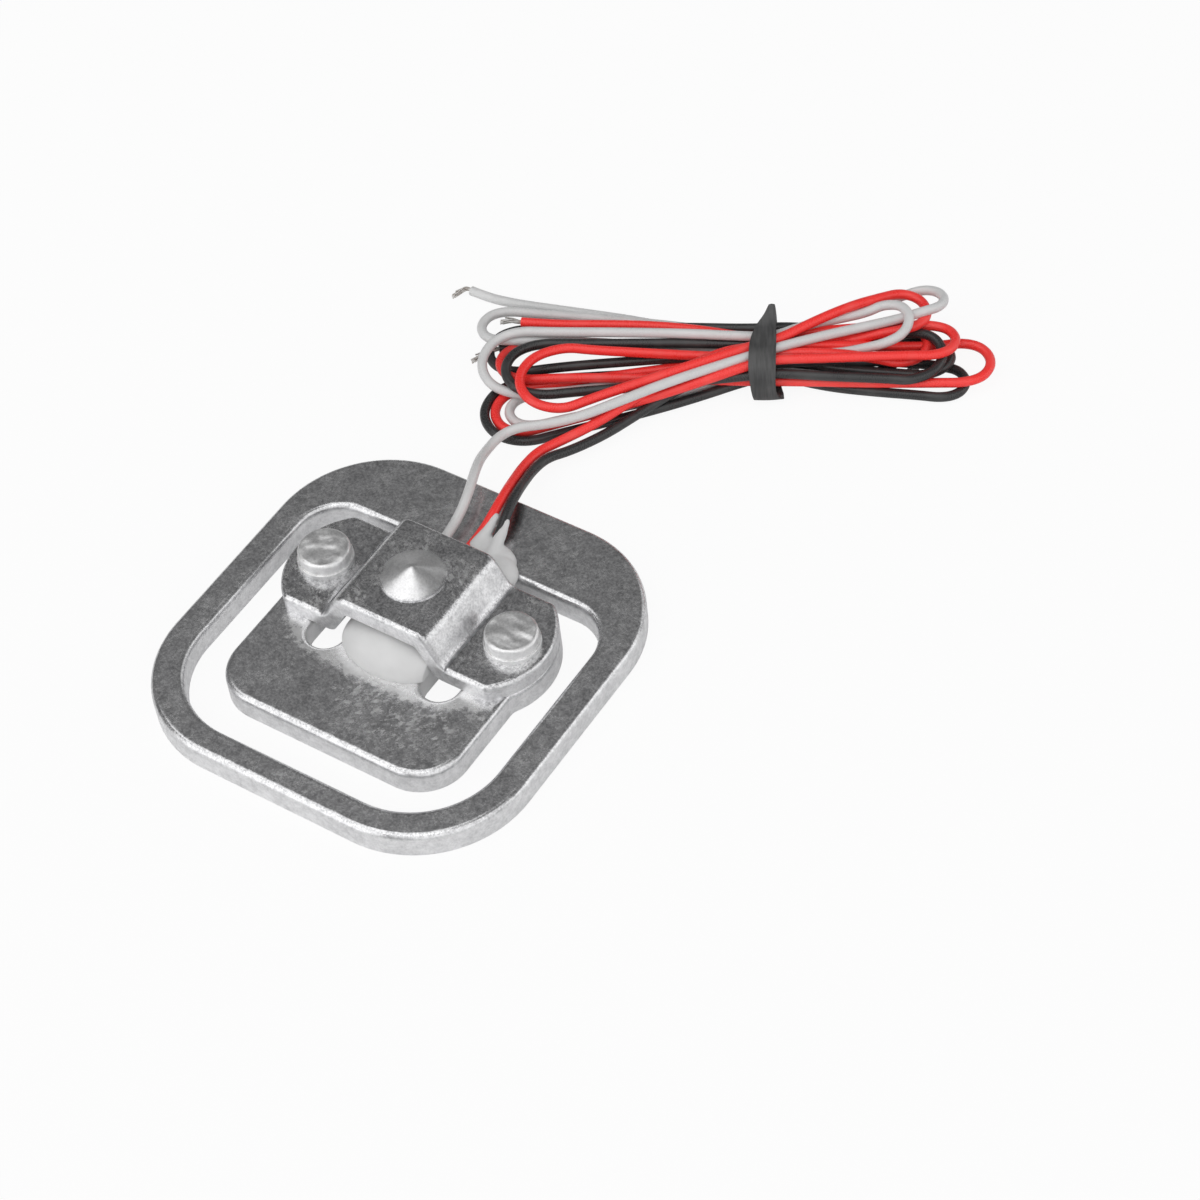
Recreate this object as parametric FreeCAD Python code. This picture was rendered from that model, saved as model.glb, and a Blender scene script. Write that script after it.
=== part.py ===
import FreeCAD, Part
import math
import os

# Half bridge load cell: a stamped spring plate, a pressed load bridge held by two rivets, a foil
# gauge under white silicone, and three wires folded into a tied hank.
# Millimetres. The origin is the centre of the plate's outline on its underside, +Z is up,
# +X runs along the bridge, +Y points to the back bar and the wires.

V = FreeCAD.Vector

# Spring plate: ring, pad, ears and strain beam in one stamping. Across, the beam, slots, ears,
# side gaps and side bars add up to 34 mm, and so do the bars, gaps, pad and bridge along Y.
PLATE_T = 2.2
PLATE_CORNER_R = 9.75
PLATE_EDGE_R = 0.55
BEAM_W = 8.0
SLOT_W = 3.15
EAR_W = 5.05
EAR_SIDE_GAP = 2.1
SIDE_BAR_W = 2.7
BACK_BAR_W = 7.3
EAR_BACK_GAP = 1.65
PAD_L = 9.15
PAD_FRONT_GAP = 3.35
FRONT_BAR_W = 2.55
PAD_SHOULDER = 1.1
PAD_CORNER_R = 4.0
OPENING_FRONT_R = 7.4
OPENING_BACK_R = 3.7
SLOT_NOSE = 1.85
EAR_NECK_R = 1.0
EAR_HEEL_R = 0.8
BEAM_ROOT_R = 0.7

# Load bridge: a hat of sheet metal whose feet lie on the ears
BRIDGE_T = 1.5
BRIDGE_W = 10.0
BRIDGE_END_BOW = 2.45
BRIDGE_CORNER_R = 0.8
BRIDGE_EDGE_R = 0.42
BRIDGE_RISE = 2.9
BRIDGE_FOOT_CLEAR = 1.85
BRIDGE_WALL_RUN = 1.6
CREASE_R = 1.2
CREASE_W = 0.3
CREASE_DEPTH = 0.2
SHOULDER_R = 1.3
UNDER_FOOT_R = 1.1
UNDER_SHOULDER_R = 0.35

# Button pressed up out of the bridge's roof
BUTTON_D = 5.4
BUTTON_LIP = 0.12
BUTTON_SLOPE_DEG = 23.2
BUTTON_NOSE_R = 0.8
DIMPLE_D = 3.3
DIMPLE_DEPTH = 1.0

# Rivets: stepped head above, countersunk tail below
RIVET_END = 3.1
SHANK_D = 2.6
TAIL_D = 3.4
TAIL_H = 0.6
HEAD_BASE_D = 4.65
HEAD_BASE_H = 0.42
HEAD_D = 4.35
HEAD_H = 1.42
HEAD_EDGE_R = 0.3
HEAD_CROWN = 0.08

# Foil gauge on the beam
CARRIER_SIDE = 0.8
CARRIER_L = 10.0
CARRIER_T = 0.06
CARRIER_REAR_INSET = 1.3
FOIL_T = 0.04
STRAND_W = 0.16
STRANDS = 6
GRID_SIDE = 0.1
GRID_L = 2.6
GRID_INSET = 0.6
GRID_SPACING = 4.6
TAB_SIDE = 0.35
TAB_W = 1.3
TAB_L = 1.4
TAB_INSET = 0.15
DOT_D = 1.1
DOT_TOP_D = 0.7
DOT_H = 0.5

# Silicone coat on the beam and the back bar
COAT_H = 2.5
COAT_EDGE_R = 1.3
COAT_SIDE = 0.55
COAT_NOSE = 1.95
COAT_NOSE_R = 2.6
COAT_HEEL = 0.85
COAT_HEEL_R = 0.8
COAT_LOBE_W = 5.7
COAT_LOBE_H = 1.6
COAT_LOBE_OVERHANG = 0.6
COAT_LOBE_SINK = 1.2
COAT_LOBE_L = 2.4
COAT_LOBE_R = 1.5
COAT_LOBE_EDGE_R = 0.9
HORN_L = 2.0
HORN_SINK = 0.3
HORN_ROOT_D = 2.2
HORN_TIP_D = 1.2

# Wires
WIRE_D = 0.85
CORE_D = 0.4
TIP_D = 0.42
STRIP_L = 1.3
LEAD_HEIGHT = 0.75

# Hank, laid on the surface behind the cell, and its tie. Its places, like those of the wires, have
# their Y measured from the plate's back edge.
TIE_CENTRE = (9.6, 23.9)
HANK_TURN_DEG = 31.0
WAIST_W = 6.0
WAIST_H = 3.4
TIE_BAND_W = 2.1
TIE_T = 0.45
TIE_CORNER_R = 1.2
TIE_APEX = 1.5
HANK_FRONT_GAP = 5.4
HANK_LEFT_H = 2.5
HANK_RIGHT_H = 2.8

# Routes of the free wires beyond the gauge, chosen by hand
LEAD_ROUTES = {
    "white": [(-2.3, -6.4, 3.0), (-2.4, -4.5, 3.45), (-2.85, -2.5, 3.9), (-3.75, -0.4, 3.7),
              (-4.7, 1.6, 2.9), (-5.35, 3.6, 2.0), (-5.45, 5.6, 1.75)],
    "red": [(0.1, -6.5, 2.95), (0.2, -4.7, 3.3), (0.05, -2.7, 3.75), (-0.4, -0.7, 3.5),
            (-1.1, 1.4, 2.6), (-1.7, 3.4, 1.8), (-1.75, 5.6, 1.55)],
    "black": [(1.9, -6.4, 2.95), (1.5, -4.4, 3.3), (1.0, -2.4, 3.8), (0.45, -0.4, 3.5),
              (-0.25, 1.6, 2.55), (-0.8, 3.5, 1.75), (-0.75, 5.6, 1.4)],
}
TAIL_WHITE_ROUTE = [(-12.4, 20.65, 0.65), (-14.4, 20.25, 0.52), (-16.4, 19.95, 0.45), (-18.3, 19.95, 0.45)]
TIP_WHITE_END = (-19.6, 18.9, 0.32)
TIP_RED_ENDS = [(-10.9, 17.2), (-12.5, 16.4)]
TIP_BLACK_ENDS = [(-12.0, 15.0, 0.7), (-13.6, 12.9, 0.35)]

# Outline of the hank left and right of its waist, as corners and corner radii
HANK_LEFT = [(-12.5, 21.6, 0.6), (-12.5, 19.7, 0.4), (-14.7, 18.7, 0.8), (-14.7, 16.0, 0.8),
             (-12.6, 14.9, 0.4), (-12.6, 12.2, 1.0), (-9.7, 8.0, 1.5), (-7.6, HANK_FRONT_GAP, 1.2),
             (0.9, HANK_FRONT_GAP, 1.5)]
HANK_RIGHT = [(19.5, 23.3, 3.0), (25.6, 26.4, 3.0), (27.0, 32.8, 1.6), (19.0, 36.4, 2.4), (13.4, 33.4, 3.0)]

# Places worked out from the sizes above
BEAM_X = BEAM_W / 2
SLOT_OUTER_X = BEAM_X + SLOT_W
BRIDGE_REACH = SLOT_OUTER_X + EAR_W
OPENING_X = BRIDGE_REACH + EAR_SIDE_GAP
PLATE_X = OPENING_X + SIDE_BAR_W
PAD_X = BRIDGE_REACH - PAD_SHOULDER
PLATE_Y = (BACK_BAR_W + EAR_BACK_GAP + BRIDGE_W + PAD_L + PAD_FRONT_GAP + FRONT_BAR_W) / 2
OPENING_BACK_Y = PLATE_Y - BACK_BAR_W
OPENING_FRONT_Y = FRONT_BAR_W - PLATE_Y
PAD_FRONT_Y = OPENING_FRONT_Y + PAD_FRONT_GAP
BRIDGE_BACK_Y = OPENING_BACK_Y - EAR_BACK_GAP
BRIDGE_Y = BRIDGE_BACK_Y - BRIDGE_W / 2
BRIDGE_FRONT_Y = BRIDGE_BACK_Y - BRIDGE_W
BRIDGE_CORNER_X = BRIDGE_REACH - BRIDGE_END_BOW
BRIDGE_END_R = (BRIDGE_END_BOW ** 2 + (BRIDGE_W / 2) ** 2) / (2 * BRIDGE_END_BOW)
BRIDGE_FOOT_X = BEAM_X + BRIDGE_FOOT_CLEAR
BRIDGE_SHOULDER_X = BRIDGE_FOOT_X - BRIDGE_WALL_RUN
SLOT_FRONT_Y = BRIDGE_FRONT_Y - SLOT_NOSE
RIVET_X = BRIDGE_REACH - RIVET_END
FLANGE_Z = PLATE_T + BRIDGE_T
ROOF_Z = FLANGE_Z + BRIDGE_RISE
CARRIER_Z = PLATE_T
FOIL_Z = CARRIER_Z + CARRIER_T
TAB_Z = FOIL_Z + FOIL_T
CARRIER_W = BEAM_W - 2 * CARRIER_SIDE
CARRIER_BACK_Y = OPENING_BACK_Y - CARRIER_REAR_INSET
TAB_BACK_Y = CARRIER_BACK_Y - TAB_INSET
TAB_Y = TAB_BACK_Y - TAB_L / 2
TAB_PITCH = CARRIER_W / 2 - TAB_SIDE - TAB_W / 2
GRID_W = TAB_PITCH - GRID_SIDE
GRID_FRONT_Y = CARRIER_BACK_Y - CARRIER_L + GRID_INSET
GRID_REAR_Y = GRID_FRONT_Y + GRID_SPACING
TAB_X = {"white": -TAB_PITCH, "red": 0.0, "black": TAB_PITCH}
STRIP_Y = TAB_Y + STRIP_L
LEAD_Z = PLATE_T + LEAD_HEIGHT
COAT_X = BEAM_X - COAT_SIDE
COAT_NOSE_Y = BRIDGE_FRONT_Y - COAT_NOSE
COAT_HEEL_Y = BRIDGE_BACK_Y + COAT_HEEL
COAT_LOBE_X = BEAM_X + COAT_LOBE_OVERHANG
COAT_LOBE_Y = OPENING_BACK_Y + COAT_LOBE_L
COAT_LOBE_FRONT_Y = COAT_HEEL_Y - COAT_LOBE_SINK
COAT_LOBE_LEFT_X = COAT_LOBE_X - COAT_LOBE_W
TIE_Y = PLATE_Y + TIE_CENTRE[1]


def on_plan(u, v):
    """Put outline coordinates on the XY plane."""
    return V(u, v, 0)


def on_front(u, v):
    """Put outline coordinates on the XZ plane."""
    return V(u, 0, v)


def outline_wire(corners, place=on_plan):
    """Close a wire through corners (u, v, radius), each rounded by a tangent arc."""
    count = len(corners)
    cuts = []
    for i, (u, v, radius) in enumerate(corners):
        here = V(u, v, 0)
        before = (V(*corners[i - 1][:2], 0) - here).normalize()
        after = (V(*corners[(i + 1) % count][:2], 0) - here).normalize()
        if radius <= 0:
            cuts.append((here, None, here))
            continue
        half_angle = before.getAngle(after) / 2
        setback = radius / math.tan(half_angle)
        centre = here + (before + after).normalize() * (radius / math.sin(half_angle))
        middle = centre + (here - centre).normalize() * radius
        cuts.append((here + before * setback, middle, here + after * setback))
    edges = []
    for i, (start, middle, end) in enumerate(cuts):
        if middle is not None:
            edges.append(Part.Arc(place(*start[:2]), place(*middle[:2]), place(*end[:2])).toShape())
        following = cuts[(i + 1) % count][0]
        if (following - end).Length > 1e-6:
            edges.append(Part.LineSegment(place(*end[:2]), place(*following[:2])).toShape())
    return Part.Wire(edges)


def prism(wire, low, high):
    """Extrude a plan outline from one height to another."""
    body = Part.Face(wire).extrude(V(0, 0, high - low))
    body.translate(V(0, 0, low))
    return body


def block(x0, x1, y0, y1, z0, z1):
    """Make a box from its limits."""
    return Part.makeBox(x1 - x0, y1 - y0, z1 - z0, V(x0, y0, z0))


def turned(corners, x, y, z):
    """Turn a half section (radius, height, corner radius) about the vertical axis at a point."""
    face = Part.Face(outline_wire(corners, on_front))
    body = face.revolve(V(0, 0, 0), V(0, 0, 1), 360)
    body.translate(V(x, y, z))
    return body


def upright_edges(shape, places):
    """Pick the vertical edges of a shape that stand at the given plan points."""
    near = 0.02
    picked = []
    for edge in shape.Edges:
        ends = [vertex.Point for vertex in edge.Vertexes]
        if len(ends) < 2 or abs(ends[0].x - ends[1].x) + abs(ends[0].y - ends[1].y) > near:
            continue
        if any(abs(ends[0].x - x) < near and abs(ends[0].y - y) < near for x, y in places):
            picked.append(edge)
    return picked


def middle_of(edge):
    """Give the point halfway along an edge."""
    return edge.valueAt((edge.FirstParameter + edge.LastParameter) / 2)


def both_sides(x, y):
    """Mirror a plan point to the left and the right."""
    return [(-x, y), (x, y)]


def behind_plate(points):
    """Move points whose Y is measured from the plate's back edge to the part's frame."""
    return [(x, PLATE_Y + y, *rest) for x, y, *rest in points]


def bridge_outline():
    """Plan of the bridge and of the ears beneath it: a strip with arched ends."""
    front_left = V(-BRIDGE_CORNER_X, BRIDGE_FRONT_Y, 0)
    front_right = V(BRIDGE_CORNER_X, BRIDGE_FRONT_Y, 0)
    back_left = V(-BRIDGE_CORNER_X, BRIDGE_BACK_Y, 0)
    back_right = V(BRIDGE_CORNER_X, BRIDGE_BACK_Y, 0)
    edges = [
        Part.LineSegment(front_left, front_right).toShape(),
        Part.Arc(front_right, V(BRIDGE_REACH, BRIDGE_Y, 0), back_right).toShape(),
        Part.LineSegment(back_right, back_left).toShape(),
        Part.Arc(back_left, V(-BRIDGE_REACH, BRIDGE_Y, 0), front_left).toShape(),
    ]
    return Part.Wire(edges)


def rivet_section(collar):
    """Half section of a rivet, or of the hole that it fills when collar is False."""
    tail_r = TAIL_D / 2
    shank_r = SHANK_D / 2
    section = [(0, 0, 0), (tail_r, 0, 0), (shank_r, TAIL_H, 0)]
    if not collar:
        return section + [(shank_r, FLANGE_Z, 0), (0, FLANGE_Z, 0)]
    base_r = HEAD_BASE_D / 2
    head_r = HEAD_D / 2
    step_z = FLANGE_Z + HEAD_BASE_H
    top_z = FLANGE_Z + HEAD_H
    bevel = (base_r - head_r) / 2
    return section + [
        (shank_r, FLANGE_Z, 0),
        (base_r, FLANGE_Z, 0),
        (base_r, step_z, bevel),
        (head_r, step_z, 0),
        (head_r, top_z, HEAD_EDGE_R),
        (0, top_z + HEAD_CROWN, 0),
    ]


def make_spring_plate():
    """Ring, strain beam, pad and ears stamped from one sheet, with rolled top edges."""
    sheet = prism(outline_wire([
        (-PLATE_X, -PLATE_Y, PLATE_CORNER_R),
        (PLATE_X, -PLATE_Y, PLATE_CORNER_R),
        (PLATE_X, PLATE_Y, PLATE_CORNER_R),
        (-PLATE_X, PLATE_Y, PLATE_CORNER_R),
    ]), 0, PLATE_T)
    opening = prism(outline_wire([
        (-OPENING_X, OPENING_FRONT_Y, OPENING_FRONT_R),
        (OPENING_X, OPENING_FRONT_Y, OPENING_FRONT_R),
        (OPENING_X, OPENING_BACK_Y, OPENING_BACK_R),
        (-OPENING_X, OPENING_BACK_Y, OPENING_BACK_R),
    ]), 0, PLATE_T)
    pad = prism(outline_wire([
        (-PAD_X, PAD_FRONT_Y, PAD_CORNER_R),
        (PAD_X, PAD_FRONT_Y, PAD_CORNER_R),
        (PAD_X, BRIDGE_Y, 0),
        (-PAD_X, BRIDGE_Y, 0),
    ]), 0, PLATE_T)
    tongue = pad.fuse(prism(bridge_outline(), 0, PLATE_T))
    for side in (-1, 1):
        inner = side * BEAM_X
        outer = side * SLOT_OUTER_X
        low_x, high_x = sorted((inner, outer))
        slot = prism(outline_wire([
            (low_x, SLOT_FRONT_Y, SLOT_W / 2),
            (high_x, SLOT_FRONT_Y, SLOT_W / 2),
            (high_x, OPENING_BACK_Y, 0),
            (low_x, OPENING_BACK_Y, 0),
        ]), 0, PLATE_T)
        tongue = tongue.cut(slot)
    beam = block(-BEAM_X, BEAM_X, BRIDGE_Y, OPENING_BACK_Y, 0, PLATE_T)
    plate = sheet.cut(opening).fuse([tongue, beam]).removeSplitter()
    neck_y = BRIDGE_Y - math.sqrt(BRIDGE_END_R ** 2 - (BRIDGE_END_R - PAD_SHOULDER) ** 2)
    for radius, x, y in (
        (BRIDGE_CORNER_R, BRIDGE_CORNER_X, BRIDGE_BACK_Y),
        (EAR_NECK_R, PAD_X, neck_y),
        (EAR_HEEL_R, SLOT_OUTER_X, BRIDGE_BACK_Y),
        (BEAM_ROOT_R, BEAM_X, OPENING_BACK_Y),
    ):
        plate = plate.makeFillet(radius, upright_edges(plate, both_sides(x, y)))
    top_edges = [edge for edge in plate.Edges if edge.BoundBox.ZMin > PLATE_T - 1e-4]
    plate = plate.makeFillet(PLATE_EDGE_R, top_edges)
    for side in (-1, 1):
        plate = plate.cut(turned(rivet_section(False), side * RIVET_X, BRIDGE_Y, 0))
    return plate


def make_load_bridge():
    """Hat of sheet metal: two feet, sloping walls and a flat roof with the button."""
    wall_angle = math.atan2(BRIDGE_RISE, BRIDGE_FOOT_X - BRIDGE_SHOULDER_X)
    inset = BRIDGE_T * math.tan(wall_angle / 2)
    under_z = ROOF_Z - BRIDGE_T
    right_side = [
        (BRIDGE_SHOULDER_X, ROOF_Z, SHOULDER_R),
        (BRIDGE_FOOT_X, FLANGE_Z, CREASE_R),
        (BRIDGE_REACH, FLANGE_Z, 0),
        (BRIDGE_REACH, PLATE_T, 0),
        (BRIDGE_FOOT_X - inset, PLATE_T, UNDER_FOOT_R),
        (BRIDGE_SHOULDER_X - inset, under_z, UNDER_SHOULDER_R),
    ]
    left_side = [(-u, v, radius) for u, v, radius in reversed(right_side)]
    hat = Part.Face(outline_wire(right_side + left_side, on_front)).extrude(V(0, BRIDGE_W, 0))
    hat.translate(V(0, BRIDGE_FRONT_Y, 0))
    hat = hat.common(prism(bridge_outline(), 0, ROOF_Z + BRIDGE_T)).removeSplitter()
    corner_points = both_sides(BRIDGE_CORNER_X, BRIDGE_BACK_Y) + both_sides(BRIDGE_CORNER_X, BRIDGE_FRONT_Y)
    hat = hat.makeFillet(BRIDGE_CORNER_R, upright_edges(hat, corner_points))
    hat = hat.makeFillet(BRIDGE_EDGE_R, bridge_rim(hat))
    for side in (-1, 1):
        hat = hat.cut(foot_crease(side))
    slope = math.radians(BUTTON_SLOPE_DEG)
    button_r = BUTTON_D / 2
    point_z = BUTTON_LIP + button_r * math.tan(slope)
    nose_z = point_z - BUTTON_NOSE_R / math.cos(slope)
    button = nosed_cone(button_r, BUTTON_LIP, BUTTON_NOSE_R, slope, nose_z)
    button.translate(V(0, BRIDGE_Y, ROOF_Z))
    dimple_r = DIMPLE_D / 2
    ball_r = (dimple_r ** 2 + DIMPLE_DEPTH ** 2) / (2 * DIMPLE_DEPTH)
    dimple = Part.makeSphere(ball_r, V(0, BRIDGE_Y, under_z + DIMPLE_DEPTH - ball_r))
    hat = hat.fuse(button).removeSplitter().cut(dimple)
    for side in (-1, 1):
        hat = hat.cut(turned(rivet_section(False), side * RIVET_X, BRIDGE_Y, 0))
    return hat


def bridge_rim(hat):
    """Pick the upper edges of the hat's rim: front, back and both arched ends."""
    picked = []
    for edge in hat.Edges:
        point = middle_of(edge)
        run = edge.BoundBox
        if run.ZLength > BRIDGE_T - 0.1 and run.XLength < 0.01:
            continue
        across = run.YLength > BRIDGE_W / 2 and abs(point.x) < BRIDGE_FOOT_X + UNDER_FOOT_R
        if across or point.z < sheet_middle_z(abs(point.x)):
            continue
        picked.append(edge)
    return picked


def sheet_middle_z(x):
    """Height of the middle of the bridge's sheet at a distance from its centre."""
    share = (BRIDGE_FOOT_X - x) / (BRIDGE_FOOT_X - BRIDGE_SHOULDER_X)
    return PLATE_T + BRIDGE_T / 2 + BRIDGE_RISE * min(1, max(0, share))


def foot_crease(side):
    """Narrow groove that the press leaves where a wall meets its foot."""
    section = Part.Face(outline_wire([
        (side * BRIDGE_FOOT_X, FLANGE_Z + CREASE_W, 0),
        (side * (BRIDGE_FOOT_X + CREASE_W), FLANGE_Z + CREASE_W, 0),
        (side * (BRIDGE_FOOT_X + CREASE_W / 2), FLANGE_Z - CREASE_DEPTH, 0),
    ], on_front))
    groove = section.extrude(V(0, BRIDGE_W, 0))
    groove.translate(V(0, BRIDGE_FRONT_Y, 0))
    return groove


def nosed_cone(base_r, lip, nose_r, slope, nose_z):
    """Turn a cone on a low upright lip, its point rounded by a ball that its flank touches."""
    touch_r = nose_r * math.sin(slope)
    touch_z = nose_z + nose_r * math.cos(slope)
    half = slope / 2
    foot_rim = V(base_r, 0, 0)
    rim = V(base_r, 0, lip)
    touch = V(touch_r, 0, touch_z)
    middle = V(nose_r * math.sin(half), 0, nose_z + nose_r * math.cos(half))
    top = V(0, 0, nose_z + nose_r)
    foot = V(0, 0, 0)
    edges = [
        Part.LineSegment(foot, foot_rim).toShape(),
        Part.LineSegment(foot_rim, rim).toShape(),
        Part.LineSegment(rim, touch).toShape(),
        Part.Arc(touch, middle, top).toShape(),
        Part.LineSegment(top, foot).toShape(),
    ]
    return Part.Face(Part.Wire(edges)).revolve(V(0, 0, 0), V(0, 0, 1), 360)


def make_rivets():
    """Two rivets through the bridge's feet and the plate's ears."""
    return [turned(rivet_section(True), side * RIVET_X, BRIDGE_Y, 0) for side in (-1, 1)]


def make_carrier():
    """Polyimide film glued to the beam."""
    return block(-CARRIER_W / 2, CARRIER_W / 2, CARRIER_BACK_Y - CARRIER_L, CARRIER_BACK_Y, CARRIER_Z, FOIL_Z)


def grid_strips(first_x, front_y):
    """Meander of one grid, from its first strand to its last, with legs that run back to the tabs."""
    pitch = GRID_W / (STRANDS - 1)
    half = STRAND_W / 2
    strips = []
    for i in range(STRANDS):
        x = first_x + i * pitch
        outer = i in (0, STRANDS - 1)
        back = TAB_BACK_Y - TAB_L if outer else front_y + GRID_L
        strips.append((x - half, x + half, front_y, back))
    for i in range(STRANDS - 1):
        x = first_x + i * pitch
        at_front = i % 2 == 0
        y = front_y if at_front else front_y + GRID_L - STRAND_W
        strips.append((x - half, x + pitch + half, y, y + STRAND_W))
    return strips


def make_foil():
    """Etched foil: a front grid, a rear grid and three tabs, joined at the middle tab."""
    strips = grid_strips(TAB_X["white"], GRID_FRONT_Y)
    strips += grid_strips(TAB_X["black"] - GRID_W, GRID_REAR_Y)
    for x in TAB_X.values():
        strips.append((x - TAB_W / 2, x + TAB_W / 2, TAB_BACK_Y - TAB_L, TAB_BACK_Y))
    pieces = [block(x0, x1, y0, y1, FOIL_Z, TAB_Z) for x0, x1, y0, y1 in strips]
    return pieces[0].fuse(pieces[1:]).removeSplitter()


def make_core(colour):
    """Stripped end of one wire, from its insulation into its solder dot."""
    x = TAB_X[colour]
    return Part.makeCylinder(CORE_D / 2, STRIP_L, V(x, TAB_Y, LEAD_Z), V(0, 1, 0))


def make_dots(cores):
    """Solder on the three tabs, round the ends of the cores."""
    dots = []
    height = LEAD_Z + CORE_D / 2 + DOT_H - TAB_Z
    for colour, x in TAB_X.items():
        dot = Part.makeCone(DOT_D / 2, DOT_TOP_D / 2, height, V(x, TAB_Y, TAB_Z))
        dots.append(dot.cut(cores[colour]))
    return dots


def bent_path(points):
    """Straight runs joined by the largest tangent arcs that they allow, with the arcs' radii."""
    share = 0.45
    knots = [V(*point) for point in points]
    edges = []
    radii = []
    start = knots[0]
    for i in range(1, len(knots) - 1):
        into = knots[i - 1] - knots[i]
        out = knots[i + 1] - knots[i]
        setback = share * min(into.Length, out.Length)
        turn = math.pi - into.getAngle(out)
        radii.append(setback / math.tan(turn / 2))
        arc_start = knots[i] + into.normalize() * setback
        arc_end = knots[i] + out.normalize() * setback
        centre = knots[i] + (into + out).normalize() * (radii[-1] / math.cos(turn / 2))
        middle = centre + (knots[i] - centre).normalize() * radii[-1]
        edges.append(Part.LineSegment(start, arc_start).toShape())
        edges.append(Part.Arc(arc_start, middle, arc_end).toShape())
        start = arc_end
    edges.append(Part.LineSegment(start, knots[-1]).toShape())
    return Part.Wire(edges), radii


def cord_tube(name, points, diameter):
    """Sweep a round section along a bent path and report its radii, length and volume."""
    path, radii = bent_path(points)
    first = V(*points[0])
    heading = V(*points[1]) - first
    section = Part.Wire(Part.makeCircle(diameter / 2, first, heading))
    tube = path.makePipeShell([section], True, False)
    if tube.Volume < 0:
        tube.reverse()
    ideal = math.pi * diameter ** 2 / 4 * path.Length
    tightest = ", ".join(f"{radius:.1f}" for radius in radii)
    print(f"{name}: length {path.Length:.2f}, radii {tightest}, volume {tube.Volume / ideal:.4f} of ideal")
    return tube


def lead_route(colour):
    """Full route of one lead: straight out of its solder dot, then the chosen points."""
    x = TAB_X[colour]
    return [(x, STRIP_Y, LEAD_Z)] + behind_plate(LEAD_ROUTES[colour])


def lead_point(colour, y):
    """Point of one lead's route at a given Y."""
    knots = [V(*point) for point in lead_route(colour)]
    before, after = next(pair for pair in zip(knots, knots[1:]) if pair[1].y > y)
    return before + (after - before) * ((y - before.y) / (after.y - before.y))


def make_horn(colour):
    """Cone of silicone that climbs one wire out of the back of the coat."""
    start_y = COAT_LOBE_Y - HORN_SINK
    root = lead_point(colour, start_y)
    heading = lead_point(colour, start_y + HORN_L) - root
    return Part.makeCone(HORN_ROOT_D / 2, HORN_TIP_D / 2, HORN_L, root, heading)


def rounded_mound(corners, height, edge_r):
    """Mound of silicone on the plate, with its top edges rounded."""
    mound = prism(outline_wire(corners), PLATE_T, PLATE_T + height)
    top_edges = [edge for edge in mound.Edges if edge.BoundBox.ZMin > PLATE_T + height - 1e-4]
    return mound.makeFillet(edge_r, top_edges)


def make_coat(neighbours):
    """Silicone over the gauge: a loaf under the bridge, a lobe on the back bar and two horns."""
    loaf = rounded_mound([
        (-COAT_X, COAT_NOSE_Y, COAT_NOSE_R),
        (COAT_X, COAT_NOSE_Y, COAT_NOSE_R),
        (COAT_X, COAT_HEEL_Y, COAT_HEEL_R),
        (-COAT_X, COAT_HEEL_Y, COAT_HEEL_R),
    ], COAT_H, COAT_EDGE_R)
    lobe = rounded_mound([
        (COAT_LOBE_LEFT_X, COAT_LOBE_FRONT_Y, COAT_LOBE_R),
        (COAT_LOBE_X, COAT_LOBE_FRONT_Y, COAT_LOBE_R),
        (COAT_LOBE_X, COAT_LOBE_Y, COAT_LOBE_R),
        (COAT_LOBE_LEFT_X, COAT_LOBE_Y, COAT_LOBE_R),
    ], COAT_LOBE_H, COAT_LOBE_EDGE_R)
    coat = loaf.fuse([lobe] + [make_horn(colour) for colour in ("red", "black")])
    return coat.cut(neighbours).removeSplitter()


def hank_point(along, across):
    """Plan point at a distance along the hank and across it, from the middle of its tie."""
    turn = math.radians(HANK_TURN_DEG)
    x = TIE_CENTRE[0] + along * math.cos(turn) - across * math.sin(turn)
    y = TIE_Y + along * math.sin(turn) + across * math.cos(turn)
    return x, y


def lay_across_hank(body):
    """Turn a body from its own frame, with X along the hank, to its place at the tie."""
    body.rotate(V(0, 0, 0), V(0, 0, 1), HANK_TURN_DEG)
    body.translate(V(TIE_CENTRE[0], TIE_Y, 0))
    return body


def make_hank():
    """Outer shape of the folded wires: two fanned ends and the waist in the tie."""
    neck = TIE_BAND_W / 2
    half = WAIST_W / 2
    front = [hank_point(-neck, -half) + (0,), hank_point(neck, -half) + (0,)]
    back = [hank_point(neck, half) + (0,), hank_point(-neck, half) + (0,)]
    top = TIE_T + WAIST_H
    ends = [behind_plate(corners) for corners in (HANK_LEFT, HANK_RIGHT)]
    plan = prism(outline_wire(ends[0] + front + ends[1] + back), 0, top)
    reach = 2 * TIE_Y
    side = Part.Face(outline_wire([
        (-reach, 0, 0),
        (-neck, 0, 0),
        (-neck, TIE_T, 0),
        (neck, TIE_T, 0),
        (neck, 0, 0),
        (reach, 0, 0),
        (reach, HANK_RIGHT_H, 0),
        (3 * WAIST_W / 2, HANK_RIGHT_H, 0),
        (neck, top, 0),
        (-neck, top, 0),
        (-3 * WAIST_W, HANK_LEFT_H, 0),
        (-reach, HANK_LEFT_H, 0),
    ], on_front)).extrude(V(0, 2 * reach, 0))
    side.translate(V(0, -reach, 0))
    return plan.common(lay_across_hank(side)).removeSplitter()


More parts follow.
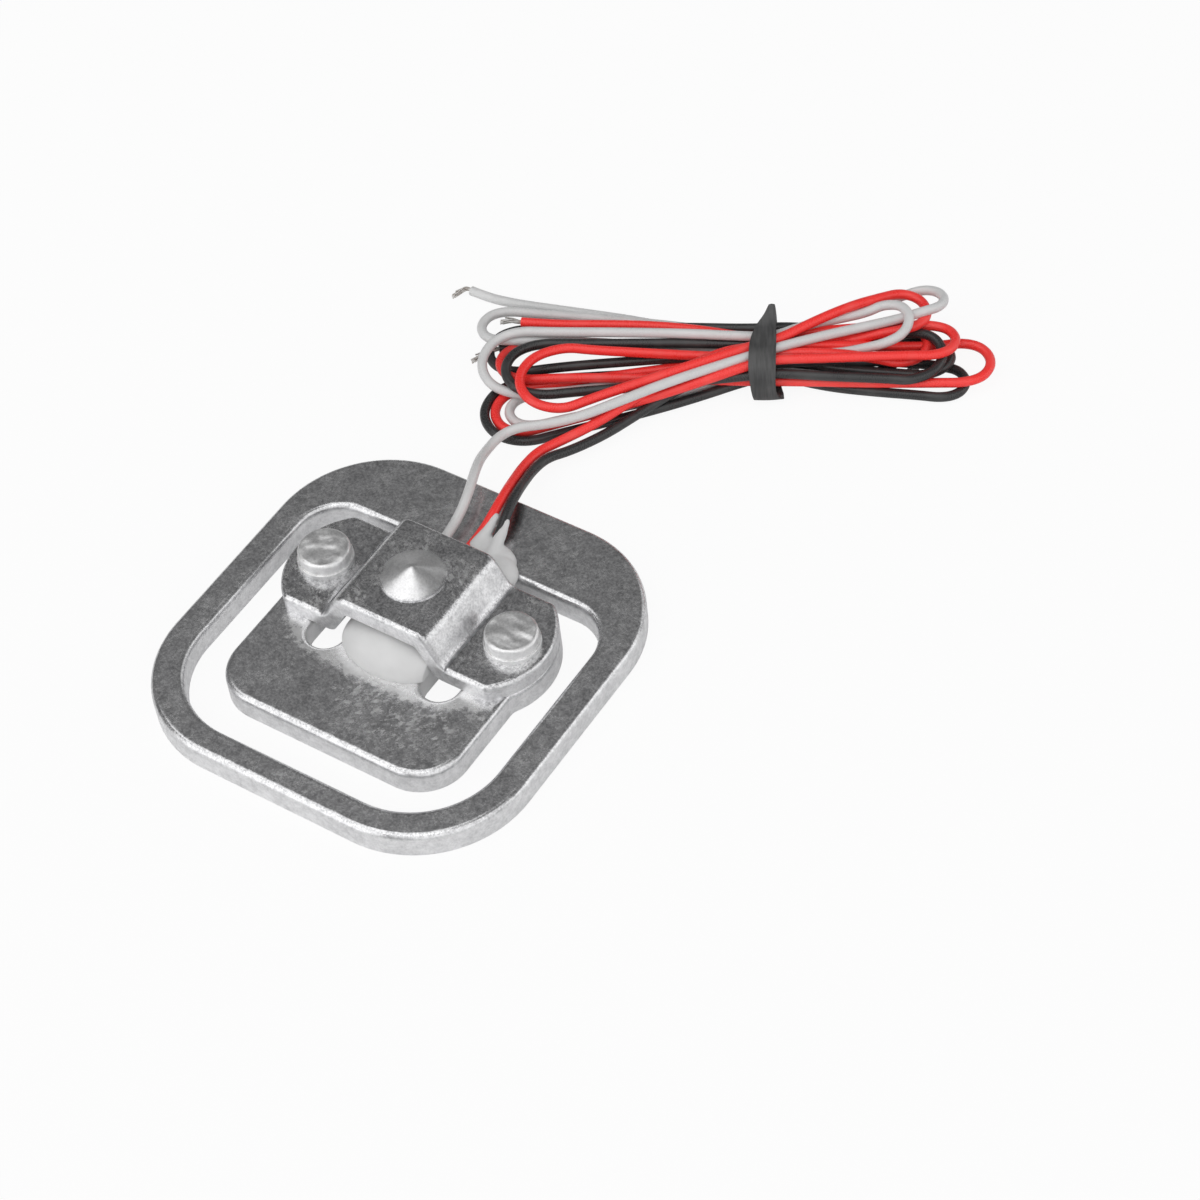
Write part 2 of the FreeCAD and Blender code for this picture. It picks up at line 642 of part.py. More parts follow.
def make_tie():
    """Flat black band round the waist, standing up to a blunt peak at its back."""
    half = WAIST_W / 2
    top = TIE_T + WAIST_H
    outer = half + TIE_T
    ring = Part.Face(outline_wire([
        (-outer, 0, TIE_CORNER_R),
        (outer, 0, TIE_CORNER_R),
        (outer, top + TIE_APEX, TIE_CORNER_R / 2),
        (-outer, top + TIE_T, TIE_CORNER_R),
    ], lambda u, v: V(0, u, v)))
    hole = Part.Face(outline_wire([
        (-half, TIE_T, 0),
        (half, TIE_T, 0),
        (half, top, 0),
        (-half, top, 0),
    ], lambda u, v: V(0, u, v)))
    band = ring.cut(hole).extrude(V(TIE_BAND_W, 0, 0))
    band.translate(V(-TIE_BAND_W / 2, 0, 0))
    return lay_across_hank(band)


def bare_tip(start, end):
    """Round tinned end between two points."""
    root = V(*start)
    run = V(*end) - root
    return Part.makeCylinder(TIP_D / 2, run.Length, root, run)


def make_tips(hank, tail):
    """Bare ends of the three wires: white on its tail, red on the hank, black out of its side."""
    white = bare_tip(*behind_plate([TAIL_WHITE_ROUTE[-1], TIP_WHITE_END])).cut(tail)
    rest_z = HANK_LEFT_H + TIP_D / 2
    red = bare_tip(*behind_plate([end + (rest_z,) for end in TIP_RED_ENDS]))
    black = bare_tip(*behind_plate(TIP_BLACK_ENDS)).cut(hank)
    return {"tip_white": white, "tip_red": red, "tip_black": black}


def main():
    """Build every piece and write one file for each."""
    hank = make_hank()
    cores = {colour: make_core(colour) for colour in TAB_X}
    dots = make_dots(cores)
    foil = make_foil()
    carrier = make_carrier()
    leads = {}
    for colour in TAB_X:
        tube = cord_tube("lead_" + colour, lead_route(colour), WIRE_D)
        leads[colour] = tube.cut([hank, cores[colour]])
    tail = cord_tube("tail_white", behind_plate(TAIL_WHITE_ROUTE), WIRE_D).cut(hank)
    plate = make_spring_plate()
    neighbours = [plate, carrier, foil] + dots + list(cores.values()) + list(leads.values())

    nodes = {
        "spring_plate": plate,
        "load_bridge": make_load_bridge(),
        "bridge_rivets": Part.makeCompound(make_rivets()),
        "gauge_carrier": carrier,
        "gauge_foil": foil,
        "solder_dots": Part.makeCompound(dots),
        "silicone_coat": make_coat(neighbours),
        "wire_hank": hank,
        "hank_tie": make_tie(),
        "tail_white": tail,
    }
    for colour in TAB_X:
        nodes["core_" + colour] = cores[colour]
        nodes["lead_" + colour] = leads[colour]
    nodes.update(make_tips(hank, tail))

    os.makedirs("parts", exist_ok=True)
    for name, shape in nodes.items():
        solids = shape.Solids
        print(f"{name}: {len(solids)} solid(s), volume {shape.Volume:.3f}, valid {shape.isValid()}")
        kept = solids[0] if len(solids) == 1 else Part.makeCompound(solids)
        kept.exportStep(os.path.join("parts", name + ".step"))


main()
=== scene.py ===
"""Half bridge load cell with its tied hank of wires, dressed for a white studio sweep.

The classes hold their sizes in millimetres. They turn to metres where a mesh or a curve is made.
"""

import logging
import math
from dataclasses import dataclass
from enum import Enum
from typing import Dict, List, Optional, Sequence, Tuple, Union

import bmesh
import bpy
import numpy as np
from mathutils import Matrix, Vector, noise


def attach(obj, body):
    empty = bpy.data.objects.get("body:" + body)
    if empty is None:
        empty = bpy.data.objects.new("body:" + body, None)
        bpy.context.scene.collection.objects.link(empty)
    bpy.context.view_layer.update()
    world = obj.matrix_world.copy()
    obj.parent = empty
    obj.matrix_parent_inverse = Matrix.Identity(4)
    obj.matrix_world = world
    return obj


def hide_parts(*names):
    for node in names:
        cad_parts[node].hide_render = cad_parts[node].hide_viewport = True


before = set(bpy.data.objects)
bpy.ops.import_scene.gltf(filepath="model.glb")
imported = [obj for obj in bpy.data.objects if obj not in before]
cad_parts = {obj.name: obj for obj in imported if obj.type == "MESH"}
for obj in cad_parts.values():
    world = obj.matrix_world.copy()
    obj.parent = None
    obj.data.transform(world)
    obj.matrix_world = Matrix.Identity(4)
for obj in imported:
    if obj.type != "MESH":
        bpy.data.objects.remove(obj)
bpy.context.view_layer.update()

LOG = logging.getLogger("load_cell")
MM = 0.001
BODY = "root"
MEAN_NOISE = 0.5
TINY = 1e-9

Pair = Tuple[float, float]
Point = Tuple[float, float, float]
Colour = Tuple[float, float, float, float]
Station = Tuple[float, float, float, float]
Number = Union["Val", float]


def grey(level: float) -> Colour:
    """A colour without hue."""
    return (level, level, level, 1.0)


WHITE = grey(1.0)


@dataclass(frozen=True)
class Grain:
    """Soft noise: the width of its patches in millimetres, and the count and strength of its finer layers.

    Without a band the noise is read as it is. With one, the first number gives 0 and the second gives 1.
    """

    size: float
    detail: float = 2.0
    rough: float = 0.5
    band: Optional[Pair] = None


class Val:
    """A shader socket that can stand in a Python expression."""

    def __init__(self, sheet: "NodeSheet", socket: bpy.types.NodeSocket) -> None:
        """Keeps the socket and the sheet that takes the new nodes."""
        self.sheet = sheet
        self.socket = socket

    def _math(self, operation: str, first: Number, second: Number) -> "Val":
        """Adds one Math node for two values."""
        values = {"Value": first, "Value_001": second}
        return self.sheet.add("ShaderNodeMath", {"operation": operation}, values)

    def __add__(self, other: Number) -> "Val":
        """Sum."""
        return self._math("ADD", self, other)

    def __radd__(self, other: float) -> "Val":
        """Sum with the number first."""
        return self._math("ADD", other, self)

    def __sub__(self, other: Number) -> "Val":
        """Difference."""
        return self._math("SUBTRACT", self, other)

    def __rsub__(self, other: float) -> "Val":
        """Difference with the number first."""
        return self._math("SUBTRACT", other, self)

    def __mul__(self, other: Number) -> "Val":
        """Product."""
        return self._math("MULTIPLY", self, other)

    def band(self, low: float, high: float) -> "Val":
        """Spreads the value so that low gives 0 and high gives 1, and holds it between them."""
        values = {"Value": self, "From Min": low, "From Max": high}
        return self.sheet.add("ShaderNodeMapRange", {"clamp": True}, values)

    def between(self, first: float, second: float) -> "Val":
        """Goes from the first number, where the value is 0, to the second, where it is 1."""
        return self * (second - first) + first


class NodeSheet:
    """Adds nodes to the tree of a material or the world."""

    def __init__(self, tree: bpy.types.NodeTree) -> None:
        """Takes a tree and empties it."""
        self.tree = tree
        tree.nodes.clear()

    @staticmethod
    def _pick(sockets: Sequence[bpy.types.NodeSocket], key: str) -> bpy.types.NodeSocket:
        """Finds a socket in use by its identifier, or else by its name."""
        live = [s for s in sockets if s.enabled]
        return ([s for s in live if s.identifier == key] or [s for s in live if s.name == key])[0]

    def add(
        self,
        kind: str,
        settings: Optional[Dict[str, object]] = None,
        sockets: Optional[Dict[str, object]] = None,
        output: Optional[str] = None,
    ) -> Val:
        """Adds one node.

        Args:
            kind: The node's type.
            settings: Its properties, which are set first.
            sockets: Values or links for its inputs.
            output: The output to hand back, or the first one in use.

        Returns:
            The output as a value.
        """
        node = self.tree.nodes.new(kind)
        for key, value in (settings or {}).items():
            setattr(node, key, value)
        for key, value in (sockets or {}).items():
            target = self._pick(node.inputs, key)
            if isinstance(value, Val):
                self.tree.links.new(value.socket, target)
            else:
                target.default_value = value
        if not node.outputs:
            return Val(self, None)
        first = next(s for s in node.outputs if s.enabled)
        return Val(self, self._pick(node.outputs, output) if output else first)

    def place(self) -> Val:
        """The place on the object, in metres."""
        return self.add("ShaderNodeTexCoord", output="Object")

    def vector(self, operation: str, first: Val, second: Point) -> Val:
        """Adds one Vector Math node for a place and fixed numbers."""
        values = {"Vector": first, "Vector_001": second}
        return self.add("ShaderNodeVectorMath", {"operation": operation}, values)

    def stretch(self, place: Val, scale: Point, turn: float = 0.0) -> Val:
        """The place turned about the upright axis and then scaled along each axis.

        Args:
            place: The place to start from.
            scale: A factor for each axis.
            turn: Degrees about the upright axis.

        Returns:
            The new place.
        """
        spin = {"Vector": place, "Angle": math.radians(turn)}
        turned = self.add("ShaderNodeVectorRotate", {"rotation_type": "Z_AXIS"}, spin)
        return self.vector("MULTIPLY", turned, scale)

    def grain(self, place: Val, look: Grain) -> Val:
        """Soft noise.

        Args:
            place: Where it is read, in metres.
            look: How it looks.

        Returns:
            A value from 0 to 1.
        """
        scale = 1.0 / (look.size * MM)
        values = {"Vector": place, "Scale": scale, "Detail": look.detail, "Roughness": look.rough}
        value = self.add("ShaderNodeTexNoise", {}, values)
        return value.band(*look.band) if look.band else value

    def blend(self, factor: Val, first: Union[Val, Colour], second: Union[Val, Colour]) -> Val:
        """Mixes two colours."""
        values = {"Factor": factor, "A": first, "B": second}
        return self.add("ShaderNodeMix", {"data_type": "RGBA"}, values)

    def relief(self, height: Val, depth: float) -> Val:
        """A surface normal with relief of a height from 0 to 1, and so many millimetres deep."""
        return self.add("ShaderNodeBump", {}, {"Height": height, "Distance": depth * MM, "Strength": 1.0})


class MaterialSheet(NodeSheet):
    """A material that ends in one main surface."""

    def __init__(self, name: str) -> None:
        """Starts an empty material.

        Args:
            name: The material's name.
        """
        self.material = bpy.data.materials.new(name)
        self.material.use_nodes = True
        super().__init__(self.material.node_tree)

    def surface(self, **sockets: object) -> bpy.types.Material:
        """Adds the surface.

        Args:
            sockets: Its inputs, with underscores for the spaces in their names.

        Returns:
            The finished material.
        """
        named = {key.replace("_", " "): value for key, value in sockets.items()}
        shader = self.add("ShaderNodeBsdfPrincipled", {}, named)
        self.add("ShaderNodeOutputMaterial", {}, {"Surface": shader})
        return self.material


@dataclass(frozen=True)
class Patch:
    """A ragged oval on the plan that carries marks of its own: its middle and its half sizes.

    Its edge follows the tears, and it fades in over the rim, which counts in half sizes from the middle.
    """

    middle: Point
    half: Pair
    ragged: float = 0.9
    tears: Grain = Grain(0.8, 4.0, 0.6)
    rim: Pair = (1.02, 0.88)

    def mask(self, sheet: NodeSheet, place: Val) -> Val:
        """Where the patch lies.

        Args:
            sheet: The sheet that takes the nodes.
            place: The place on the object, in metres.

        Returns:
            1 in the patch and 0 outside it, with a torn edge.
        """
        middle = tuple(c * MM for c in self.middle)
        offset = sheet.vector("SUBTRACT", place, middle)
        flat = sheet.stretch(offset, (1 / (self.half[0] * MM), 1 / (self.half[1] * MM), 0.0))
        far = sheet.add("ShaderNodeVectorMath", {"operation": "LENGTH"}, {"Vector": flat}, "Value")
        torn = sheet.grain(place, self.tears) - MEAN_NOISE
        return (far + torn * self.ragged).band(*self.rim)


@dataclass(frozen=True)
class PlatedSteel:
    """Plated sheet steel: a soft mirror with fine specks, faint clouds, rolling marks and pale scars.

    A mark's tone is how far it changes the colour, its haze how far it dulls the shine, and its height how
    far it stands up. A pair of them holds for a steep face and for a level one. The painted reflection tone
    is such a pair: painted reflection that colours a steep face lighter and a level face darker. The film
    patch is partly a real sealant film and partly painted reflection of the sealant and the bridge's lip.
    Turns are in degrees, and depth and dent in millimetres.
    """

    slot: str
    bright: Colour
    dull: Colour
    gloss: float = 0.17
    depth: float = 0.01
    dent: float = 0.0
    rolling_turn: float = 0.0
    # pale patch that is partly a real sealant film and partly painted reflection of the sealant and the
    # bridge's lip
    film: Optional[Patch] = None
    scuffed: Optional[Patch] = None
    rubbed: Optional[Patch] = None
    pale: Colour = grey(0.9)
    level_band: Pair = (0.3, 0.9)
    # painted reflection: the first tone, for steep faces, is lighter than the second, for level faces
    painted_reflection_tone: Pair = (0.56, 0.27)
    edge_haze: float = 0.13
    clouds: Grain = Grain(2.4, 4.0, 0.55, (0.3, 0.7))
    cloud_tone: float = 0.2
    cloud_haze: float = 0.08
    mottle: Grain = Grain(0.6, 2.0, 0.6, (0.32, 0.68))
    mottle_tone: float = 0.25
    specks: Grain = Grain(0.19, 2.0, 0.7)
    speck_band: Pair = (0.38, 0.62)
    speck_tone: Pair = (0.2, 0.5)
    speck_haze: float = 0.06
    speck_height: Pair = (0.2, 0.55)
    rolled: Grain = Grain(0.15)
    roll_stretch: Point = (0.08, 1.0, 1.0)
    roll_height: float = 0.3
    flecks: Grain = Grain(0.38, 3.0, 0.65, (0.5, 0.66))
    fleck_stretch: Point = (1.0, 0.55, 1.0)
    fleck_turn: float = 35.0
    worn: Grain = Grain(4.0, band=(0.42, 0.6))
    worn_share: float = 0.5
    scar_tone: float = 0.75
    scar_haze: float = 0.14
    scar_height: float = 0.4
    rub_tone: float = 0.6
    rub_haze: float = 0.08
    dents: Grain = Grain(1.8, 1.5)
    # how far the film patch, with its painted reflection, turns pale and loses its metal
    film_and_painted_reflection_tone: float = 0.7
    film_and_painted_reflection_matt: float = 0.35
    film_height: float = 0.6

    def _scars(self, sheet: MaterialSheet, place: Val) -> Val:
        """Where the pale scars lie.

        Args:
            sheet: The sheet that takes the nodes.
            place: The place on the object, in metres.

        Returns:
            A value from 0 to 1.
        """
        fleck_place = sheet.stretch(place, self.fleck_stretch, self.rolling_turn + self.fleck_turn)
        worn = sheet.grain(place, self.worn)
        if self.scuffed:
            worn = (worn * self.worn_share + self.scuffed.mask(sheet, place)).band(0.0, 1.0)
        return sheet.grain(fleck_place, self.flecks) * worn

    def material(self) -> bpy.types.Material:
        """Makes the material.

        Returns:
            The finished material.
        """
        sheet = MaterialSheet(self.slot)
        place = sheet.place()
        clouds = sheet.grain(place, self.clouds)
        specks = sheet.grain(place, self.specks)
        rolled = sheet.grain(sheet.stretch(place, self.roll_stretch, self.rolling_turn), self.rolled)
        scars = self._scars(sheet, place)
        facing = sheet.add("ShaderNodeNewGeometry", output="Normal")
        level = sheet.add("ShaderNodeSeparateXYZ", {}, {"Vector": facing}, "Z").band(*self.level_band)
        mottle = sheet.grain(place, self.mottle) * self.mottle_tone
        grainy = (specks.band(*self.speck_band) - MEAN_NOISE) * level.between(*self.speck_tone)
        # painted reflection: the facing term colours steep faces lighter and level faces darker, in place of
        # the bright floor and the dim sky that they mirror; the other terms are random tone
        light = grainy + mottle + clouds * self.cloud_tone + level.between(*self.painted_reflection_tone)
        colour = sheet.blend(light, self.dull, self.bright)
        colour = sheet.blend(scars * self.scar_tone, colour, self.pale)
        rough = self.gloss + clouds * self.cloud_haze + specks * self.speck_haze + scars * self.scar_haze
        rough = rough + (1.0 - level) * self.edge_haze
        if self.rubbed:
            rubbed = self.rubbed.mask(sheet, place)
            rough = rough + rubbed * self.rub_haze
            colour = sheet.blend(rubbed * self.rub_tone, colour, self.pale)
        height = specks * level.between(*self.speck_height)
        height = height + rolled * self.roll_height + scars * self.scar_height
        if self.dent:
            height = height + sheet.grain(place, self.dents) * (self.dent / self.depth)
        metal: Number = 1.0
        # pale patch in front of the sealant: partly a real sealant film, partly painted reflection of the
        # sealant and the bridge's lip; it is whiter, less metallic and smoother in relief
        if self.film:
            film = self.film.mask(sheet, place)
            colour = sheet.blend(film * self.film_and_painted_reflection_tone, colour, self.pale)
            metal = 1.0 - film * self.film_and_painted_reflection_matt
            height = height * (1.0 - film * self.film_height) + film * self.film_height
        return sheet.surface(
            Base_Color=colour,
            Metallic=metal,
            Roughness=rough,
            Normal=sheet.relief(height, self.depth),
        )


@dataclass(frozen=True)
class TwoTone:
    """A finish of two colours in soft clouds, with a fine skin that can be stretched one way.

    The clouds and the skin each have a tone, which is how far they bring up the second colour, and a haze,
    which is how far they dull the shine. The skin's depth and the reach of light into milky stuff are in
    millimetres, and the skin's turn is in degrees.
    """

    slot: str
    colour: Colour
    second: Colour
    gloss: float = 0.25
    clouds: Grain = Grain(1.0)
    cloud_tone: float = 1.0
    cloud_haze: float = 0.1
    skin: Grain = Grain(0.1)
    skin_stretch: Point = (1.0, 1.0, 1.0)
    skin_turn: float = 0.0
    skin_band: Pair = (0.35, 0.7)
    skin_tone: float = 0.0
    skin_haze: float = 0.0
    depth: float = 0.004
    metal: float = 0.0
    shine: float = 0.5
    coat: float = 0.0
    milk: float = 0.0
    milk_reach: float = 0.3

    def material(self) -> bpy.types.Material:
        """Makes the material.

        Returns:
            The finished material.
        """
        sheet = MaterialSheet(self.slot)
        place = sheet.place()
        clouds = sheet.grain(place, self.clouds)
        skin = sheet.grain(sheet.stretch(place, self.skin_stretch, self.skin_turn), self.skin)
        share = clouds * self.cloud_tone + skin.band(*self.skin_band) * self.skin_tone
        return sheet.surface(
            Base_Color=sheet.blend(share, self.colour, self.second),
            Metallic=self.metal,
            Roughness=self.gloss + clouds * self.cloud_haze + skin * self.skin_haze,
            Specular_IOR_Level=self.shine,
            Coat_Weight=self.coat,
            Subsurface_Weight=self.milk,
            Subsurface_Radius=(1.0, 1.0, 1.0),
            Subsurface_Scale=self.milk_reach * MM,
            Normal=sheet.relief(skin, self.depth),
        )


@dataclass(frozen=True)
class WireJacket(TwoTone):
    """Soft plastic insulation with a satin skin, rubbed a little paler in places."""

    clouds: Grain = Grain(2.6, 3.0, band=(0.5, 0.75))
    skin: Grain = Grain(0.12)
    skin_haze: float = 0.05
    depth: float = 0.0015


@dataclass(frozen=True)
class SiliconeSkin(TwoTone):
    """Cured white sealant: milky, with a soft shine and small ripples."""

    gloss: float = 0.44
    clouds: Grain = Grain(1.8, 3.0, band=(0.3, 0.7))
    cloud_haze: float = 0.12
    skin: Grain = Grain(0.9)
    depth: float = 0.02
    milk: float = 0.3
    milk_reach: float = 0.6


@dataclass(frozen=True)
class BandPlastic(TwoTone):
    """The dark plastic of the tie: satin, with fine marks along the strap and a grey bloom."""

    gloss: float = 0.34
    clouds: Grain = Grain(1.6, 3.0, band=(0.35, 0.75))
    cloud_tone: float = 0.4
    skin: Grain = Grain(0.16)
    skin_stretch: Point = (1.0, 0.1, 0.1)
    skin_turn: float = -31.0
    skin_tone: float = 0.5
    depth: float = 0.012
    shine: float = 0.6


@dataclass(frozen=True)
class SmallMetal(TwoTone):
    """Bare metal of the wire strands, the solder and the gauge: bright, with a fine uneven skin."""

    clouds: Grain = Grain(0.35, 3.0, band=(0.4, 0.7))
    cloud_haze: float = 0.2
    metal: float = 1.0


@dataclass(frozen=True)
class AmberFilm(TwoTone):
    """The gauge's thin carrier film: glossy amber with faint clouding."""

    gloss: float = 0.22
    clouds: Grain = Grain(0.8, band=(0.35, 0.7))
    skin: Grain = Grain(0.8, band=(0.35, 0.7))
    coat: float = 0.4


FINISHES = (
    PlatedSteel(
        "plate_steel",
        (0.92, 0.92, 0.93, 1.0),
        (0.36, 0.36, 0.37, 1.0),
        rolling_turn=8.0,
        # pale patch in front of the sealant: partly a real sealant film, partly painted reflection of the
        # sealant and the bridge's lip
        film=Patch((0.3, -2.9, 2.2), (9.9, 2.2)),
        scuffed=Patch((4.0, -6.4, 2.2), (5.5, 2.6)),
    ),
    PlatedSteel(
        "bridge_steel",
        (0.92, 0.92, 0.93, 1.0),
        (0.25, 0.25, 0.26, 1.0),
        rolling_turn=90.0,
        rubbed=Patch((0.0, 3.05, 6.8), (2.75, 2.75), 0.12),
    ),
    PlatedSteel(
        "rivet_steel",
        WHITE,
        grey(0.66),
        gloss=0.34,
        dent=0.36,
        clouds=Grain(1.0, 4.0, 0.55, (0.3, 0.7)),
    ),
    AmberFilm("polyimide_film", (0.6, 0.27, 0.05, 1.0), (0.42, 0.17, 0.03, 1.0)),
    SmallMetal("gauge_alloy", (0.7, 0.6, 0.48, 1.0), (0.5, 0.42, 0.33, 1.0)),
    SmallMetal("solder", (0.72, 0.72, 0.73, 1.0), (0.5, 0.5, 0.52, 1.0)),
    SiliconeSkin("white_silicone", grey(0.74), grey(0.7)),
    SmallMetal("tinned_copper", (0.62, 0.6, 0.58, 1.0), (0.4, 0.36, 0.33, 1.0), gloss=0.3),
    WireJacket("white_insulation", grey(0.68), grey(0.74), milk=0.15),
    WireJacket("red_insulation", (1.0, 0.045, 0.04, 1.0), (1.0, 0.085, 0.075, 1.0)),
    WireJacket("black_insulation", (0.032, 0.032, 0.033, 1.0), grey(0.058)),
    BandPlastic("black_band", (0.03, 0.03, 0.031, 1.0), grey(0.085)),
)


class Wardrobe:
    """Every finish of the object as a material, by the record's slot name."""

    def __init__(self) -> None:
        """Makes all the materials."""
        self.materials = {finish.slot: finish.material() for finish in FINISHES}

    def dress(self, piece: bpy.types.Object, slot: str, *nodes: str) -> None:
        """Gives a new piece its finish, puts it on the object's body and hides the CAD nodes that it
        replaces.

        Args:
            piece: The new piece.
            slot: The record's slot of its finish.
            nodes: The CAD nodes that it replaces.
        """
        piece.data.materials.append(self.materials[slot])
        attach(piece, BODY)
        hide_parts(*nodes)
        LOG.info("built %s", piece.name)

    def redress(self, node: str) -> None:
        """Changes the plain materials of a CAD node, which stays in sight, for finished ones."""
        for holder in bpy.data.objects[node].material_slots:
            holder.material = self.materials[holder.material.name.split(".")[0]]


def add_object(name: str, data: bpy.types.ID) -> bpy.types.Object:
    """Links new data into the scene.

    Args:
        name: The new object's name.
        data: Its mesh, curve, camera or lamp.

    Returns:
        The object.
    """
    piece = bpy.data.objects.new(name, data)
    bpy.context.scene.collection.objects.link(piece)
    return piece


def mesh_object(name: str, work: bmesh.types.BMesh) -> bpy.types.Object:
    """Turns a mesh drawn in millimetres into a smooth object in metres.

    Args:
        name: The new object's name.
        work: The drawn mesh, which is used up.

    Returns:
        The object.
    """
    bmesh.ops.scale(work, vec=(MM, MM, MM), verts=work.verts)
    for face in work.faces:
        face.smooth = True
    mesh = bpy.data.meshes.new(name)
    work.to_mesh(mesh)
    work.free()
    return add_object(name, mesh)


@dataclass(frozen=True)
class Tube:
    """A round strand: its diameter in millimetres, and how finely it is rounded and bent."""

    diameter: float
    sides: int
    steps: int


def tube_object(name: str, lines: Sequence[np.ndarray], tube: Tube) -> bpy.types.Object:
    """Draws round strands along open smooth lines.

    Args:
        name: The new object's name.
        lines: Each strand's control points, in millimetres.
        tube: How the strands are drawn.

    Returns:
        The curve object.
    """
    curve = bpy.data.curves.new(name, "CURVE")
    curve.dimensions = "3D"
    curve.bevel_depth = tube.diameter / 2 * MM
    curve.bevel_resolution = tube.sides
    curve.use_fill_caps = True
    for points in lines:
        spline = curve.splines.new("NURBS")
        spline.points.add(len(points) - 1)
        for control, point in zip(spline.points, points * MM):
            control.co = (*point, 1.0)
        spline.order_u = 3
        spline.use_endpoint_u = True
        spline.resolution_u = tube.steps
    return add_object(name, curve)


class Jacket(Enum):
    """The three wires by the colour of their insulation."""

    WHITE = "white"
    RED = "red"
    BLACK = "black"


@dataclass(frozen=True)
class Fold:
    """One turn-back of a wire at an end of the hank.

    tip is its far end along the hank, arrive and leave are its two sides across the hank, height is
    where it lies above the floor, and drop is how far it dives on its way round.
    """

    tip: float
    arrive: float
    leave: float
    height: float
    drop: float = 0.0


@dataclass(frozen=True)
class Berth:
    """A wire's place inside the tie: across the hank, and above the floor."""

    across: float
    height: float


@dataclass(frozen=True)
class WireRoute:
    """A wire's way from the gauge through the hank to its bare end."""

    jacket: Jacket
    lead: Tuple[Point, ...]
    approach: Tuple[Point, ...]
    berths: Tuple[Berth, ...]
    folds: Tuple[Fold, ...]
    tail: Tuple[Point, ...]
    held_end: int
    length: float
    replaced: Tuple[str, ...]
    strands: Tuple[Point, ...]


@dataclass(frozen=True)
class HankFrame:
    """Where the hank lies: its tie's place on the floor and the way that it points."""

    tie: Pair = (9.6, 40.9)
    turn: float = 31.0

    def axes(self) -> np.ndarray:
        """The directions along and across the hank, one per row."""
        cos, sin = math.cos(math.radians(self.turn)), math.sin(math.radians(self.turn))
        return np.array(((cos, sin), (-sin, cos)))

    def point(self, along: float, across: float, height: float) -> Point:
        """A place in the hank as a point of the object's frame."""
        x, y = np.array(self.tie) + np.array((along, across)) @ self.axes()
        return (float(x), float(y), height)

    def place(self, points: np.ndarray) -> np.ndarray:
        """How far points, one per row, lie along the hank and, in a second row, across it."""
        return self.axes() @ (points[:, :2] - np.array(self.tie)).T


HANK = HankFrame()

